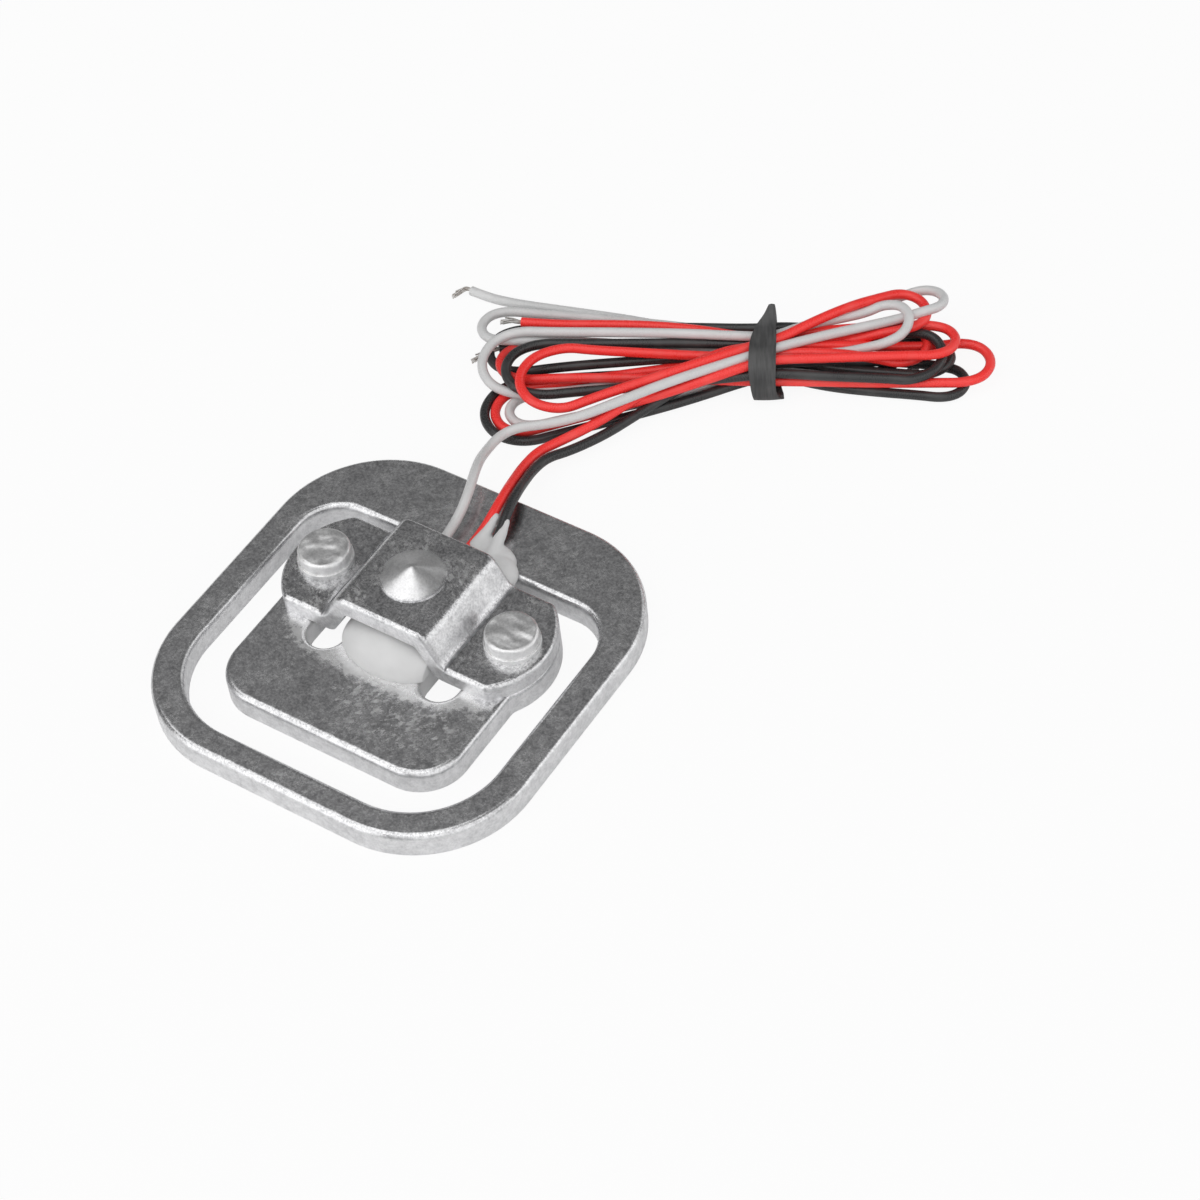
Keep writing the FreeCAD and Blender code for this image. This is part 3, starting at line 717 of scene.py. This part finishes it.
ROUTES = (
    WireRoute(
        jacket=Jacket.WHITE,
        lead=(
            (-2.2, 8.85, 2.95), (-2.3, 10.6, 3.0), (-2.4, 12.5, 3.45), (-2.85, 14.5, 3.9),
            (-3.75, 16.6, 3.7), (-4.7, 18.6, 2.9), (-5.35, 20.6, 2.0), (-5.45, 22.6, 1.75),
        ),
        approach=(
            (-4.5, 24.0, 1.9), (-2.5, 24.9, 2.3), (-0.1, 26.8, 2.6), (2.0, 29.7, 2.8), (4.1, 32.8, 3.0),
            (6.5, 35.8, 3.2),
        ),
        berths=(
            Berth(-1.1, 3.3), Berth(2.55, 2.0), Berth(0.3, 0.9), Berth(0.7, 2.9), Berth(-1.4, 1.0),
            Berth(-0.6, 1.2), Berth(-1.0, 0.9), Berth(2.5, 1.3),
        ),
        folds=(
            Fold(15.3, 2.7, 6.3, 2.4), Fold(-24.6, 7.2, 3.0, 1.5), Fold(12.3, -0.2, 4.1, 2.5),
            Fold(-24.2, 3.4, -2.3, 1.8, 1.1), Fold(13.2, -2.2, 4.0, 0.45), Fold(-21.9, -1.6, -5.9, 0.6),
            Fold(9.0, -1.0, 2.7, 0.45),
        ),
        tail=(
            HANK.point(-5.6, 4.7, 1.4), HANK.point(-10.9, 6.5, 1.1), HANK.point(-16.0, 7.7, 0.8),
            (-12.4, 37.65, 0.65), (-14.4, 37.25, 0.52), (-16.4, 36.95, 0.45), (-18.3, 36.95, 0.45),
        ),
        held_end=4,
        length=0.33,
        replaced=("lead_white", "tail_white", "wire_hank"),
        strands=((-18.0, 36.95, 0.45), (-18.75, 37.05, 0.62), (-19.15, 36.5, 0.5), (-19.65, 35.85, 0.25)),
    ),
    WireRoute(
        jacket=Jacket.RED,
        lead=(
            (0.0, 8.85, 2.95), (0.1, 10.5, 2.95), (0.2, 12.3, 3.3), (0.05, 14.3, 3.75), (-0.4, 16.3, 3.5),
            (-1.1, 18.4, 2.6), (-1.7, 20.4, 1.8), (-1.75, 22.6, 1.55),
        ),
        approach=(
            (-0.7, 24.4, 1.5), (1.15, 27.1, 1.8), (2.75, 30.3, 2.1), (4.6, 34.3, 2.4), (6.8, 38.0, 2.6),
        ),
        berths=(
            Berth(-0.2, 2.5), Berth(-2.55, 1.25), Berth(1.6, 1.5), Berth(0.0, 1.6), Berth(0.4, 3.6),
            Berth(1.2, 0.9), Berth(-1.9, 2.6), Berth(1.6, 2.4),
        ),
        folds=(
            Fold(18.9, 1.4, -3.0, 0.7), Fold(-22.9, -1.0, 3.6, 1.1), Fold(13.6, 3.2, -1.6, 1.2),
            Fold(-20.8, 1.3, -6.0, 2.4), Fold(13.7, 6.0, 1.8, 2.2), Fold(-23.0, -1.8, -6.5, 0.45),
            Fold(16.0, -1.6, 2.1, 1.6),
        ),
        tail=(
            HANK.point(-5.5, 2.6, 2.95), HANK.point(-10.0, 3.5, 2.85), HANK.point(-14.2, 4.0, 2.65),
            HANK.point(-18.0, 4.3, 2.5), (-10.9, 34.2, 2.4),
        ),
        held_end=1,
        length=0.34,
        replaced=("lead_red", "wire_hank"),
        strands=((-10.6, 34.3, 2.4), (-11.3, 33.95, 2.5), (-11.9, 33.75, 2.62), (-12.5, 33.35, 2.6)),
    ),
    WireRoute(
        jacket=Jacket.BLACK,
        lead=(
            (2.2, 8.85, 2.95), (1.9, 10.6, 2.95), (1.5, 12.6, 3.3), (1.0, 14.6, 3.8), (0.45, 16.6, 3.5),
            (-0.25, 18.6, 2.55), (-0.8, 20.5, 1.75), (-0.75, 22.6, 1.4),
        ),
        approach=(
            (0.3, 24.4, 1.2), (1.7, 27.4, 1.1), (2.7, 30.2, 1.2), (3.9, 33.1, 1.5), (6.0, 36.6, 1.7),
        ),
        berths=(
            Berth(-1.0, 1.8), Berth(-2.2, 0.9), Berth(-0.5, 0.9), Berth(-2.3, 1.9), Berth(0.9, 2.1),
            Berth(0.5, 1.2), Berth(2.5, 2.7), Berth(2.0, 0.9),
        ),
        folds=(
            Fold(16.8, -0.2, -4.1, 0.5), Fold(-24.0, -8.0, -0.8, 0.45), Fold(14.8, 2.5, -3.1, 1.3),
            Fold(-22.2, -3.3, 2.6, 1.3), Fold(15.6, 2.4, -2.2, 0.6), Fold(-23.6, 0.6, 5.9, 0.7),
            Fold(11.2, 3.4, -1.6, 0.5),
        ),
        tail=(
            HANK.point(-6.0, 3.0, 0.8), HANK.point(-12.0, 4.0, 0.6), HANK.point(-17.0, 4.3, 0.45),
            (-10.4, 33.6, 0.45), (-12.0, 32.0, 0.6),
        ),
        held_end=1,
        length=0.34,
        replaced=("lead_black", "wire_hank"),
        strands=((-11.8, 32.25, 0.58), (-12.5, 31.4, 0.62), (-13.0, 30.7, 0.55), (-13.6, 29.9, 0.3)),
    ),
)


@dataclass
class Settling:
    """Lets the wires of the hank push each other apart until they lie over and beside each other.

    gap and own_reach count in diameters: how near two places may come, and how far along one wire its places
    leave each other alone. lift turns a push upright, and rank keeps who passes over whom. In each round a
    wire sags, evens out its shift and is drawn home on the plan. Inside the tie it keeps to a rounded box.
    """

    diameter: float
    rounds: int = 300
    per_span: int = 6
    gap: float = 1.06
    own_reach: float = 4.0
    lift: float = 1.5
    rank: float = 0.25
    sag: float = 0.004
    evenness: float = 0.2
    home: float = 0.006
    drive: float = 1.6
    tie_reach: float = 1.5
    tie_half: Pair = (2.6, 1.3)
    tie_height: float = 2.15
    tie_grip: float = 0.7
    tie_square: float = 3.0
    first_give: float = 0.5

    def weights(self, count: int) -> np.ndarray:
        """The pull of each control point on places along its smooth line.

        Args:
            count: How many control points the line has.

        Returns:
            One row of weights for each place.
        """
        spans = count - 2
        reach = np.linspace(0.0, spans, spans * self.per_span + 1)
        span = np.minimum(reach.astype(int), spans - 1)
        knots = np.clip(np.arange(-2, spans + 3), 0, spans).astype(float)
        knot = span + 2
        inner = (reach - knots[knot]) / (knots[knot + 1] - knots[knot])
        low = (reach - knots[knot - 1]) / (knots[knot + 1] - knots[knot - 1])
        high = (reach - knots[knot]) / (knots[knot + 2] - knots[knot])
        table = np.zeros((len(reach), count))
        row = np.arange(len(reach))
        table[row, span] = (1 - inner) * (1 - low)
        table[row, span + 1] = (1 - inner) * low + inner * (1 - high)
        table[row, span + 2] = inner * high
        return table

    def _strangers(self, lines: List[np.ndarray]) -> np.ndarray:
        """Marks the pairs of places that may not touch, each pair once.

        Args:
            lines: The places along each wire.

        Returns:
            A square table of marks over all the places.
        """
        owner = np.concatenate([np.full(len(line), i) for i, line in enumerate(lines)])
        steps = [np.linalg.norm(np.diff(line, axis=0), axis=1) for line in lines]
        run = np.concatenate([np.concatenate(((0.0,), np.cumsum(step))) for step in steps])
        same = owner[:, None] == owner[None, :]
        close = np.abs(run[:, None] - run[None, :]) < self.own_reach * self.diameter
        return np.triu(~(same & close), 1)

    def _push(self, places: np.ndarray, strangers: np.ndarray, order: np.ndarray) -> np.ndarray:
        """How far each place moves so that it clears its neighbours, the floor and the tie.

        Args:
            places: Every wire's places, one per row.
            strangers: The pairs that may not touch.
            order: The heights as drawn, which say who passes over whom.

        Returns:
            One move per row.
        """
        square = (places * places).sum(1)
        apart = square[:, None] + square[None, :] - 2.0 * places @ places.T
        gap = self.gap * self.diameter
        first, second = np.nonzero((apart < gap * gap) & strangers)
        way = places[first] - places[second]
        way[:, 2] *= self.lift
        way[:, 2] += self.rank * np.sign(order[first] - order[second])
        size = np.sqrt(np.maximum((way**2).sum(1), TINY))
        depth = gap - np.sqrt(np.maximum(apart[first, second], TINY))
        push = way / size[:, None] * (0.5 * depth)[:, None]
        move = np.zeros_like(places)
        count = np.zeros(len(places))
        for index, sign in ((first, 1.0), (second, -1.0)):
            np.add.at(move, index, sign * push)
            np.add.at(count, index, 1)
        move /= np.sqrt(np.maximum(count, 1))[:, None]
        move[:, 2] += np.maximum(self.diameter / 2 - places[:, 2], 0.0)
        return move + self._squeeze(places)

    def _squeeze(self, places: np.ndarray) -> np.ndarray:
        """How far the tie draws in each place that it goes round.

        Args:
            places: Every wire's places, one per row.

        Returns:
            One move per row.
        """
        along, across = HANK.place(places)
        rise = places[:, 2] - self.tie_height
        wide, tall = np.abs(across) / self.tie_half[0], np.abs(rise) / self.tie_half[1]
        fill = wide**self.tie_square + tall**self.tie_square
        out = (np.abs(along) < self.tie_reach) & (fill > 1)
        pull = np.where(out, np.maximum(fill, 1.0) ** (-1 / self.tie_square) - 1, 0.0) * self.tie_grip
        flat = (across * pull)[:, None] * HANK.axes()[1]
        return np.column_stack((flat, rise * pull))

    def settle(self, wires: List[np.ndarray], held: List[Tuple[int, int]]) -> List[np.ndarray]:
        """Moves the control points until the wires lie clear, or nearly so.

        Args:
            wires: Each wire's control points.
            held: How many of its first and of its last points stay where they are.

        Returns:
            The new control points of each wire.
        """
        homes, wires = wires, [wire.copy() for wire in wires]
        tables = [self.weights(len(wire)) for wire in wires]
        free = []
        for wire, (start, end) in zip(wires, held):
            loose = np.ones((len(wire), 1))
            loose[:start] = 0.0
            loose[start] = self.first_give
            loose[-end:] = 0.0
            free.append(loose)
        lines = [table @ wire for table, wire in zip(tables, wires)]
        strangers = self._strangers(lines)
        ends = np.cumsum([len(line) for line in lines])[:-1]
        order = np.concatenate(lines)[:, 2]
        for _ in range(self.rounds):
            move = self._push(np.concatenate([t @ w for t, w in zip(tables, wires)]), strangers, order)
            for wire, home, table, loose, part in zip(wires, homes, tables, free, np.split(move, ends)):
                wire += table.T @ part / table.sum(0)[:, None] * self.drive * loose
                wire[:, 2:] -= self.sag * loose
                shift = wire - home
                uneven = np.zeros_like(shift)
                uneven[1:-1] = 0.5 * (shift[:-2] + shift[2:]) - shift[1:-1]
                wire += self.evenness * uneven * loose
                wire[:, :2] += (home[:, :2] - wire[:, :2]) * self.home * loose
                wire[:, 2] = np.maximum(wire[:, 2], self.diameter / 2)
        return wires


@dataclass
class WireSet:
    """The three wires, each one cord from the gauge through the hank to its bare strands.

    neck is half the length of the tie, skew the most that a wire may slant in it, and run_stops are the
    shares of the way from the tie to a fold that get a control point.
    """

    cord: Tube = Tube(0.85, 5, 8)
    neck: float = 1.05
    skew: float = 0.35
    run_stops: Tuple[float, ...] = (0.3, 0.6, 0.85)
    run_bow: float = 0.8
    fold_points: int = 5
    fold_bulge: Pair = (1.08, 1.05)
    strand: Tube = Tube(0.13, 2, 12)
    strand_count: int = 7
    strand_spread: Pair = (0.12, 0.3)
    strand_turn: float = 2.4
    strand_twist: float = 1.9
    strand_fray: Tuple[float, ...] = (1.0, 0.91, 0.82)

    def _run(self, side: int, centre: float, berth: Berth, end: Berth) -> List[Point]:
        """Points of a run from the tie out to a fold.

        Args:
            side: 1 for the hank's right end, -1 for its left.
            centre: Where the fold's round end starts, along the hank.
            berth: Where the run leaves the tie.
            end: Where it meets the fold's round end.

        Returns:
            The points, in order from the tie.
        """
        points = []
        for stop in self.run_stops:
            along = side * self.neck + (centre - side * self.neck) * stop
            bowed = berth.across + (end.across - berth.across) * stop**self.run_bow
            points.append(HANK.point(along, bowed, berth.height + (end.height - berth.height) * stop))
        return points

    def _turn_back(self, side: int, fold: Fold, berth: Berth, after: Berth) -> List[Point]:
        """Points of a run out to a fold, round it and back to the tie.

        Args:
            side: 1 for the hank's right end, -1 for its left.
            fold: The fold.
            berth: Where the wire leaves the tie.
            after: Where it comes back into the tie.

        Returns:
            The points, in order.
        """
        half = (fold.leave - fold.arrive) / 2
        middle = (fold.leave + fold.arrive) / 2
        centre = fold.tip - side * abs(half)
        points = self._run(side, centre, berth, Berth(fold.arrive, fold.height))
        for step in range(self.fold_points):
            share = step / (self.fold_points - 1)
            angle = math.pi * (share - 0.5)
            along = centre + side * abs(half) * self.fold_bulge[0] * math.cos(angle)
            across = middle + half * self.fold_bulge[1] * math.sin(angle)
            points.append(HANK.point(along, across, fold.height - fold.drop * share))
        low = Berth(fold.leave, fold.height - fold.drop)
        return points + self._run(side, centre, after, low)[::-1]

    def _control_points(self, route: WireRoute) -> np.ndarray:
        """All the control points of a wire before it settles.

        Args:
            route: The wire's way.

        Returns:
            One point per row, in millimetres.
        """
        points = list(route.lead + route.approach)
        side = -1
        for index, berth in enumerate(route.berths):
            last = index == len(route.folds)
            along, across = HANK.place(np.array((points[-1], route.tail[0])))
            goal = (along[1], across[1]) if last else (route.folds[index].tip, route.folds[index].arrive)
            slope = (goal[1] - across[0]) / (goal[0] - along[0])
            lean = max(-self.skew, min(self.skew, slope)) * self.neck
            for end in (side, -side):
                points.append(HANK.point(end * self.neck, berth.across + end * lean, berth.height))
            side = -side
            if not last:
                points += self._turn_back(side, route.folds[index], berth, route.berths[index + 1])
        return np.array(points + list(route.tail))

    def _strands(self, route: WireRoute) -> List[np.ndarray]:
        """The loose twisted strands at a wire's stripped end.

        Args:
            route: The wire's way.

        Returns:
            Each strand's control points, in millimetres.
        """
        spine = np.array(route.strands)
        heading = spine[-1] - spine[0]
        beside = np.cross(heading, (0.0, 0.0, 1.0))
        beside /= np.linalg.norm(beside)
        over = np.cross(beside, heading / np.linalg.norm(heading))
        reach = np.linspace(0.0, 1.0, len(spine))
        low, high = self.strand_spread
        spread = low + (high - low) * reach**2
        lines = []
        for index in range(self.strand_count):
            angle = index * self.strand_turn + reach * self.strand_twist
            swing = np.outer(np.cos(angle), beside) + np.outer(np.sin(angle), over)
            line = spine[0] + (spine - spine[0]) * self.strand_fray[index % len(self.strand_fray)]
            if index > 0:
                line += swing * spread[:, None]
            line[:, 2] = np.maximum(line[:, 2], self.strand.diameter / 2)
            lines.append(line)
        return lines

    def build(self, wardrobe: Wardrobe) -> None:
        """Draws and dresses every wire.

        Args:
            wardrobe: The finishes.
        """
        drawn = [self._control_points(route) for route in ROUTES]
        held = [(len(route.lead), route.held_end) for route in ROUTES]
        settled = Settling(self.cord.diameter).settle(drawn, held)
        for route, points in zip(ROUTES, settled):
            colour = route.jacket.value
            wire = tube_object(f"wire_{colour}", [points], self.cord)
            wardrobe.dress(wire, f"{colour}_insulation", *route.replaced)
            strands = tube_object(f"strands_{colour}", self._strands(route), self.strand)
            wardrobe.dress(strands, "tinned_copper", f"tip_{colour}")
            tuple(c * MM for c in route.lead[0])
            self.cord.diameter * MM


@dataclass
class HankTie:
    """The flat dark strap closed round the hank, with its pointed end standing up behind.

    A station of its loop is its place across the hank, its height, and its left and right edge along the
    hank.
    """

    thickness: float = 0.36
    steps: int = 5
    columns: int = 6
    crown: float = 0.06
    edge_round: float = 0.08
    edge_segments: int = 2
    stations: Tuple[Station, ...] = (
        (2.75, 5.4, 0.42, 0.94), (2.1, 4.95, 0.0, 1.0), (1.2, 4.5, -0.7, 1.02),
        (-0.2, 4.3, -1.2, 1.0), (-1.7, 4.1, -1.35, 0.96), (-3.0, 3.4, -1.4, 0.9),
        (-3.7, 2.3, -1.3, 0.85), (-3.95, 1.2, -1.15, 0.95), (-3.6, 0.42, -1.0, 1.5),
        (-2.2, 0.2, -1.0, 1.3), (0.0, 0.2, -1.05, 1.05), (1.9, 0.22, -1.05, 1.05),
        (3.0, 0.6, -1.05, 1.05), (3.35, 1.7, -0.9, 1.05), (3.3, 3.1, -0.25, 1.05),
        (3.1, 4.5, 0.35, 1.0),
    )

    def _rounded(self) -> np.ndarray:
        """The stations with even steps between them on a smooth loop.

        Returns:
            One row of across, height, left and right per step.
        """
        table = np.array(self.stations)
        before, after, beyond = (np.roll(table, shift, axis=0) for shift in (1, -1, -2))
        bend = 2 * before - 5 * table + 4 * after - beyond
        twist = 3 * table - before - 3 * after + beyond
        share = (np.arange(self.steps) / self.steps)[:, None]
        parts = zip(table, after - before, bend, twist)
        return np.concatenate([h + 0.5 * (o * share + b * share**2 + t * share**3) for h, o, b, t in parts])

    def build(self, wardrobe: Wardrobe) -> None:
        """Draws and dresses the strap.

        Args:
            wardrobe: The finishes.
        """
        rows = self._rounded()
        middle = rows[:, :2].mean(axis=0)
        share = np.linspace(0.0, 1.0, self.columns + 1)
        bulge = self.crown * np.sin(math.pi * share)
        work = bmesh.new()
        rings = []
        for across, height, left, right in rows:
            outward = np.array((across, height)) - middle
            outward /= np.linalg.norm(outward)
            along = left + (right - left) * share
            round_it = np.array((across, height)) + outward * bulge[:, None]
            rings.append([work.verts.new(HANK.point(a, n, z)) for a, (n, z) in zip(along, round_it)])
        for ring, other in zip(rings, rings[1:] + rings[:1]):
            for column in range(self.columns):
                work.faces.new((ring[column], ring[column + 1], other[column + 1], other[column]))
        bmesh.ops.recalc_face_normals(work, faces=work.faces)
        strap = mesh_object("hank_strap", work)
        shell = strap.modifiers.new("thickness", "SOLIDIFY")
        shell.thickness = self.thickness * MM
        shell.offset = -1.0
        shell.use_even_offset = True
        edge = strap.modifiers.new("soft_edge", "BEVEL")
        edge.width = self.edge_round * MM
        edge.segments = self.edge_segments
        smooth = strap.modifiers.new("smooth", "SUBSURF")
        smooth.levels = 1
        smooth.render_levels = 1
        wardrobe.dress(strap, "black_band", "hank_tie")


@dataclass(frozen=True)
class Blob:
    """One lump of sealant: a rounded block by its middle and half sizes, and how square it is."""

    middle: Point
    half: Point
    square: float = 2.0


@dataclass
class SiliconeCoat:
    """The white sealant over the gauge, squeezed out in front of the bridge and behind it."""

    base: float = 2.2
    voxel: float = 0.12
    smoothing: int = 8
    smooth_share: float = 0.5
    lump_detail: int = 4
    waviness: float = 0.035
    wave_size: float = 1.6
    fine_wave: Pair = (2.3, 0.5)
    beam_sides: Pair = (-3.95, 4.3)
    beam_end: float = 7.0
    horn_sizes: Pair = (0.62, 0.38)
    horn_steps: int = 14
    horn_flat: float = 0.9
    horn_reach: Pair = (10.4, 13.5)
    horn_offset: Pair = (0.32, 0.14)
    blobs: Tuple[Blob, ...] = (
        Blob((0.0, 3.2, 2.2), (3.5, 5.9, 2.35), 3.0),
        Blob((0.4, -0.9, 2.2), (4.7, 3.25, 2.45), 2.1),
        Blob((2.3, 8.9, 2.2), (2.8, 2.3, 1.3), 2.3),
        Blob((2.1, 10.3, 2.2), (2.1, 1.75, 1.05)),
        Blob((1.2, 10.9, 2.2), (1.1, 1.4, 1.25)),
        Blob((-2.3, 8.6, 2.5), (0.95, 1.0, 0.95)),
        Blob((-0.05, 8.5, 2.6), (1.1, 1.25, 1.2)),
    )

    def _lump(self, work: bmesh.types.BMesh, blob: Blob) -> None:
        """Adds one closed rounded block.

        Args:
            work: The mesh that takes it.
            blob: Its place and shape.
        """
        made = bmesh.ops.create_icosphere(work, subdivisions=self.lump_detail, radius=1.0)
        for vert in made["verts"]:
            way = vert.co.normalized()
            size = sum(abs(c) ** blob.square for c in way) ** (-1.0 / blob.square)
            vert.co = Vector(m + c * size * h for m, c, h in zip(blob.middle, way, blob.half))

    def _horns(self, work: bmesh.types.BMesh) -> None:
        """Adds the sealant drawn up along the red and the black wire.

        Args:
            work: The mesh that takes it.
        """
        sealed = [route for route in ROUTES if route.jacket is not Jacket.WHITE]
        for route, beside in zip(sealed, self.horn_offset):
            lead = np.array(route.lead)
            along = np.linspace(*self.horn_reach, self.horn_steps + 1)
            for y, size in zip(along, np.linspace(*self.horn_sizes, self.horn_steps + 1)):
                x, z = (np.interp(y, lead[:, 1], lead[:, axis]) for axis in (0, 2))
                self._lump(work, Blob((x + beside, y, z), (size, size * self.horn_flat, size)))

    def _fused(self, work: bmesh.types.BMesh) -> bmesh.types.BMesh:
        """Melts the lumps into one skin.

        Args:
            work: The lumps, which are used up.

        Returns:
            The skin.
        """
        raw = bpy.data.meshes.new("sealant_lumps")
        work.to_mesh(raw)
        work.free()
        lumps = add_object("sealant_lumps", raw)
        melt = lumps.modifiers.new("melt", "REMESH")
        melt.mode = "VOXEL"
        melt.voxel_size = self.voxel
        soften = lumps.modifiers.new("soften", "SMOOTH")
        soften.factor = self.smooth_share
        soften.iterations = self.smoothing
        skin = bmesh.new()
        skin.from_object(lumps, bpy.context.evaluated_depsgraph_get())
        bpy.data.objects.remove(lumps)
        bpy.data.meshes.remove(raw)
        return skin

    def build(self, wardrobe: Wardrobe) -> None:
        """Draws and dresses the sealant.

        Args:
            wardrobe: The finishes.
        """
        work = bmesh.new()
        for blob in self.blobs:
            self._lump(work, blob)
        self._horns(work)
        skin = self._fused(work)
        skin.normal_update()
        finer, weaker = self.fine_wave
        for vert in skin.verts:
            swell = noise.noise(vert.co / self.wave_size)
            swell += weaker * noise.noise(vert.co * finer / self.wave_size)
            vert.co += vert.normal * (self.waviness * swell)
            if vert.co.y < self.beam_end:
                vert.co.x = min(max(vert.co.x, self.beam_sides[0]), self.beam_sides[1])
        everything = list(skin.verts) + list(skin.edges) + list(skin.faces)
        bmesh.ops.bisect_plane(
            skin, geom=everything, plane_co=(0, 0, self.base), plane_no=(0, 0, 1), clear_inner=True
        )
        rim = [e for e in skin.edges if e.is_boundary]
        bmesh.ops.triangle_fill(skin, edges=rim, use_beauty=True)
        bmesh.ops.recalc_face_normals(skin, faces=skin.faces)
        coat = mesh_object("sealant_coat", skin)
        wardrobe.dress(coat, "white_silicone", "silicone_coat")


@dataclass
class SteelBody:
    """The CAD parts that stay in sight: the spring plate, the bridge, its rivets and the gauge."""

    nodes: Tuple[str, ...] = (
        "spring_plate", "load_bridge", "bridge_rivets", "gauge_carrier", "gauge_foil", "solder_dots",
        "core_white", "core_red", "core_black",
    )

    def build(self, wardrobe: Wardrobe) -> None:
        """Dresses the parts.

        Args:
            wardrobe: The finishes.
        """
        for node in self.nodes:
            wardrobe.redress(node)
            LOG.info("dressed %s", node)


@dataclass(frozen=True)
class Softbox:
    """A square lamp: the way to it from the object, its distance and width in metres, its power."""

    name: str
    way: Point
    distance: float
    width: float
    watts: float


@dataclass
class Studio:
    """The camera, the white sweep and the soft lamps."""

    azimuth: float = 38.053
    elevation: float = 49.384
    roll: float = -7.109
    eye: Point = (111.23, -115.74, 189.94)
    focal: float = 93.07
    sensor: float = 36.0
    sky: float = 0.2
    clip: Pair = (0.01, 20.0)
    floor_drop: float = 0.02
    floor_white: float = 0.86
    floor_fibre: Pair = (900.0, 0.02)
    floor_shine: float = 0.92
    floor_mirror: float = 0.12
    floor_segments: int = 96
    floor_radius: float = 2500.0
    lamps: Tuple[Softbox, ...] = (
        Softbox("softbox_over", (-0.28, -0.2, 0.94), 0.7, 0.64, 1.5),
        Softbox("softbox_front", (-0.45, -0.8, 0.38), 0.8, 0.7, 2.0),
        Softbox("softbox_back", (0.82, 0.48, 0.3), 0.8, 0.56, 1.0),
        Softbox("softbox_behind", (0.3, 0.88, 0.36), 0.8, 0.5, 0.4),
        Softbox("softbox_near", (0.62, -0.43, 0.66), 0.9, 1.25, 4.3),
    )

    def _camera(self) -> None:
        """Puts the camera where the photograph was taken from."""
        turn, lift, roll = (math.radians(a) for a in (self.azimuth, self.elevation, self.roll))
        aim = Matrix.Rotation(turn, 4, "Z") @ Matrix.Rotation(math.pi / 2 - lift, 4, "X")
        data = bpy.data.cameras.new("camera")
        data.sensor_width = self.sensor
        data.lens = self.focal
        data.clip_start, data.clip_end = self.clip
        camera = add_object("camera", data)
        place = Matrix.Translation(Vector(self.eye) * MM)
        camera.matrix_world = place @ aim @ Matrix.Rotation(roll, 4, "Z")
        bpy.context.scene.camera = camera

    def _white_sheet(self) -> bpy.types.Material:
        """Makes the sweep's paper: white to the eye, pale in reflections, and it still takes a shadow.

        Returns:
            The finished material.
        """
        sheet = MaterialSheet("sweep_paper")
        seen = sheet.add("ShaderNodeLightPath", output="Is Camera Ray")
        mirrored = sheet.add("ShaderNodeLightPath", output="Is Glossy Ray")
        share = seen * self.floor_shine + mirrored * self.floor_mirror
        size, lighter = self.floor_fibre
        fibre = sheet.grain(sheet.place(), Grain(size, 1.0))
        pale = sheet.blend(fibre, grey(self.floor_white), grey(self.floor_white + lighter))
        matt = sheet.add("ShaderNodeBsdfDiffuse", {}, {"Color": pale})
        white = sheet.add("ShaderNodeEmission", {}, {"Color": WHITE, "Strength": 1.0})
        both = sheet.add("ShaderNodeMixShader", {}, {"Fac": share, "Shader": matt, "Shader_001": white})
        sheet.add("ShaderNodeOutputMaterial", {}, {"Surface": both})
        return sheet.material

    def _floor(self) -> None:
        """Draws the round sheet of paper that the object lies on."""
        work = bmesh.new()
        lay = Matrix.Translation((0.0, 0.0, -self.floor_drop))
        bmesh.ops.create_circle(
            work, cap_ends=True, segments=self.floor_segments, radius=self.floor_radius, matrix=lay
        )
        sweep = mesh_object("sweep", work)
        sweep.data.materials.append(self._white_sheet())

    def _lights(self) -> None:
        """Hangs the lamps and sets the even light all round."""
        for box in self.lamps:
            data = bpy.data.lights.new(box.name, "AREA")
            data.shape = "SQUARE"
            data.size = box.width
            data.energy = box.watts
            lamp = add_object(box.name, data)
            way = Vector(box.way).normalized()
            lamp.location = way * box.distance
            lamp.rotation_euler = way.to_track_quat("Z", "Y").to_euler()
        world = bpy.data.worlds.new("studio_air")
        world.use_nodes = True
        sheet = NodeSheet(world.node_tree)
        seen = sheet.add("ShaderNodeLightPath", output="Is Camera Ray")
        level = sheet.blend(seen, grey(self.sky), WHITE)
        even = sheet.add("ShaderNodeBackground", {}, {"Color": level, "Strength": 1.0})
        sheet.add("ShaderNodeOutputWorld", {}, {"Surface": even})
        bpy.context.scene.world = world

    def build(self) -> None:
        """Sets up the whole studio."""
        self._camera()
        self._floor()
        self._lights()
        bpy.context.scene.view_settings.view_transform = "Standard"
        LOG.info("studio ready")


def main() -> None:
    """Builds the studio and every piece, in order."""
    logging.basicConfig(level=logging.INFO, format="%(name)s: %(message)s")
    Studio().build()
    wardrobe = Wardrobe()
    SteelBody().build(wardrobe)
    WireSet().build(wardrobe)
    HankTie().build(wardrobe)
    SiliconeCoat().build(wardrobe)


if __name__ == "__main__":
    main()
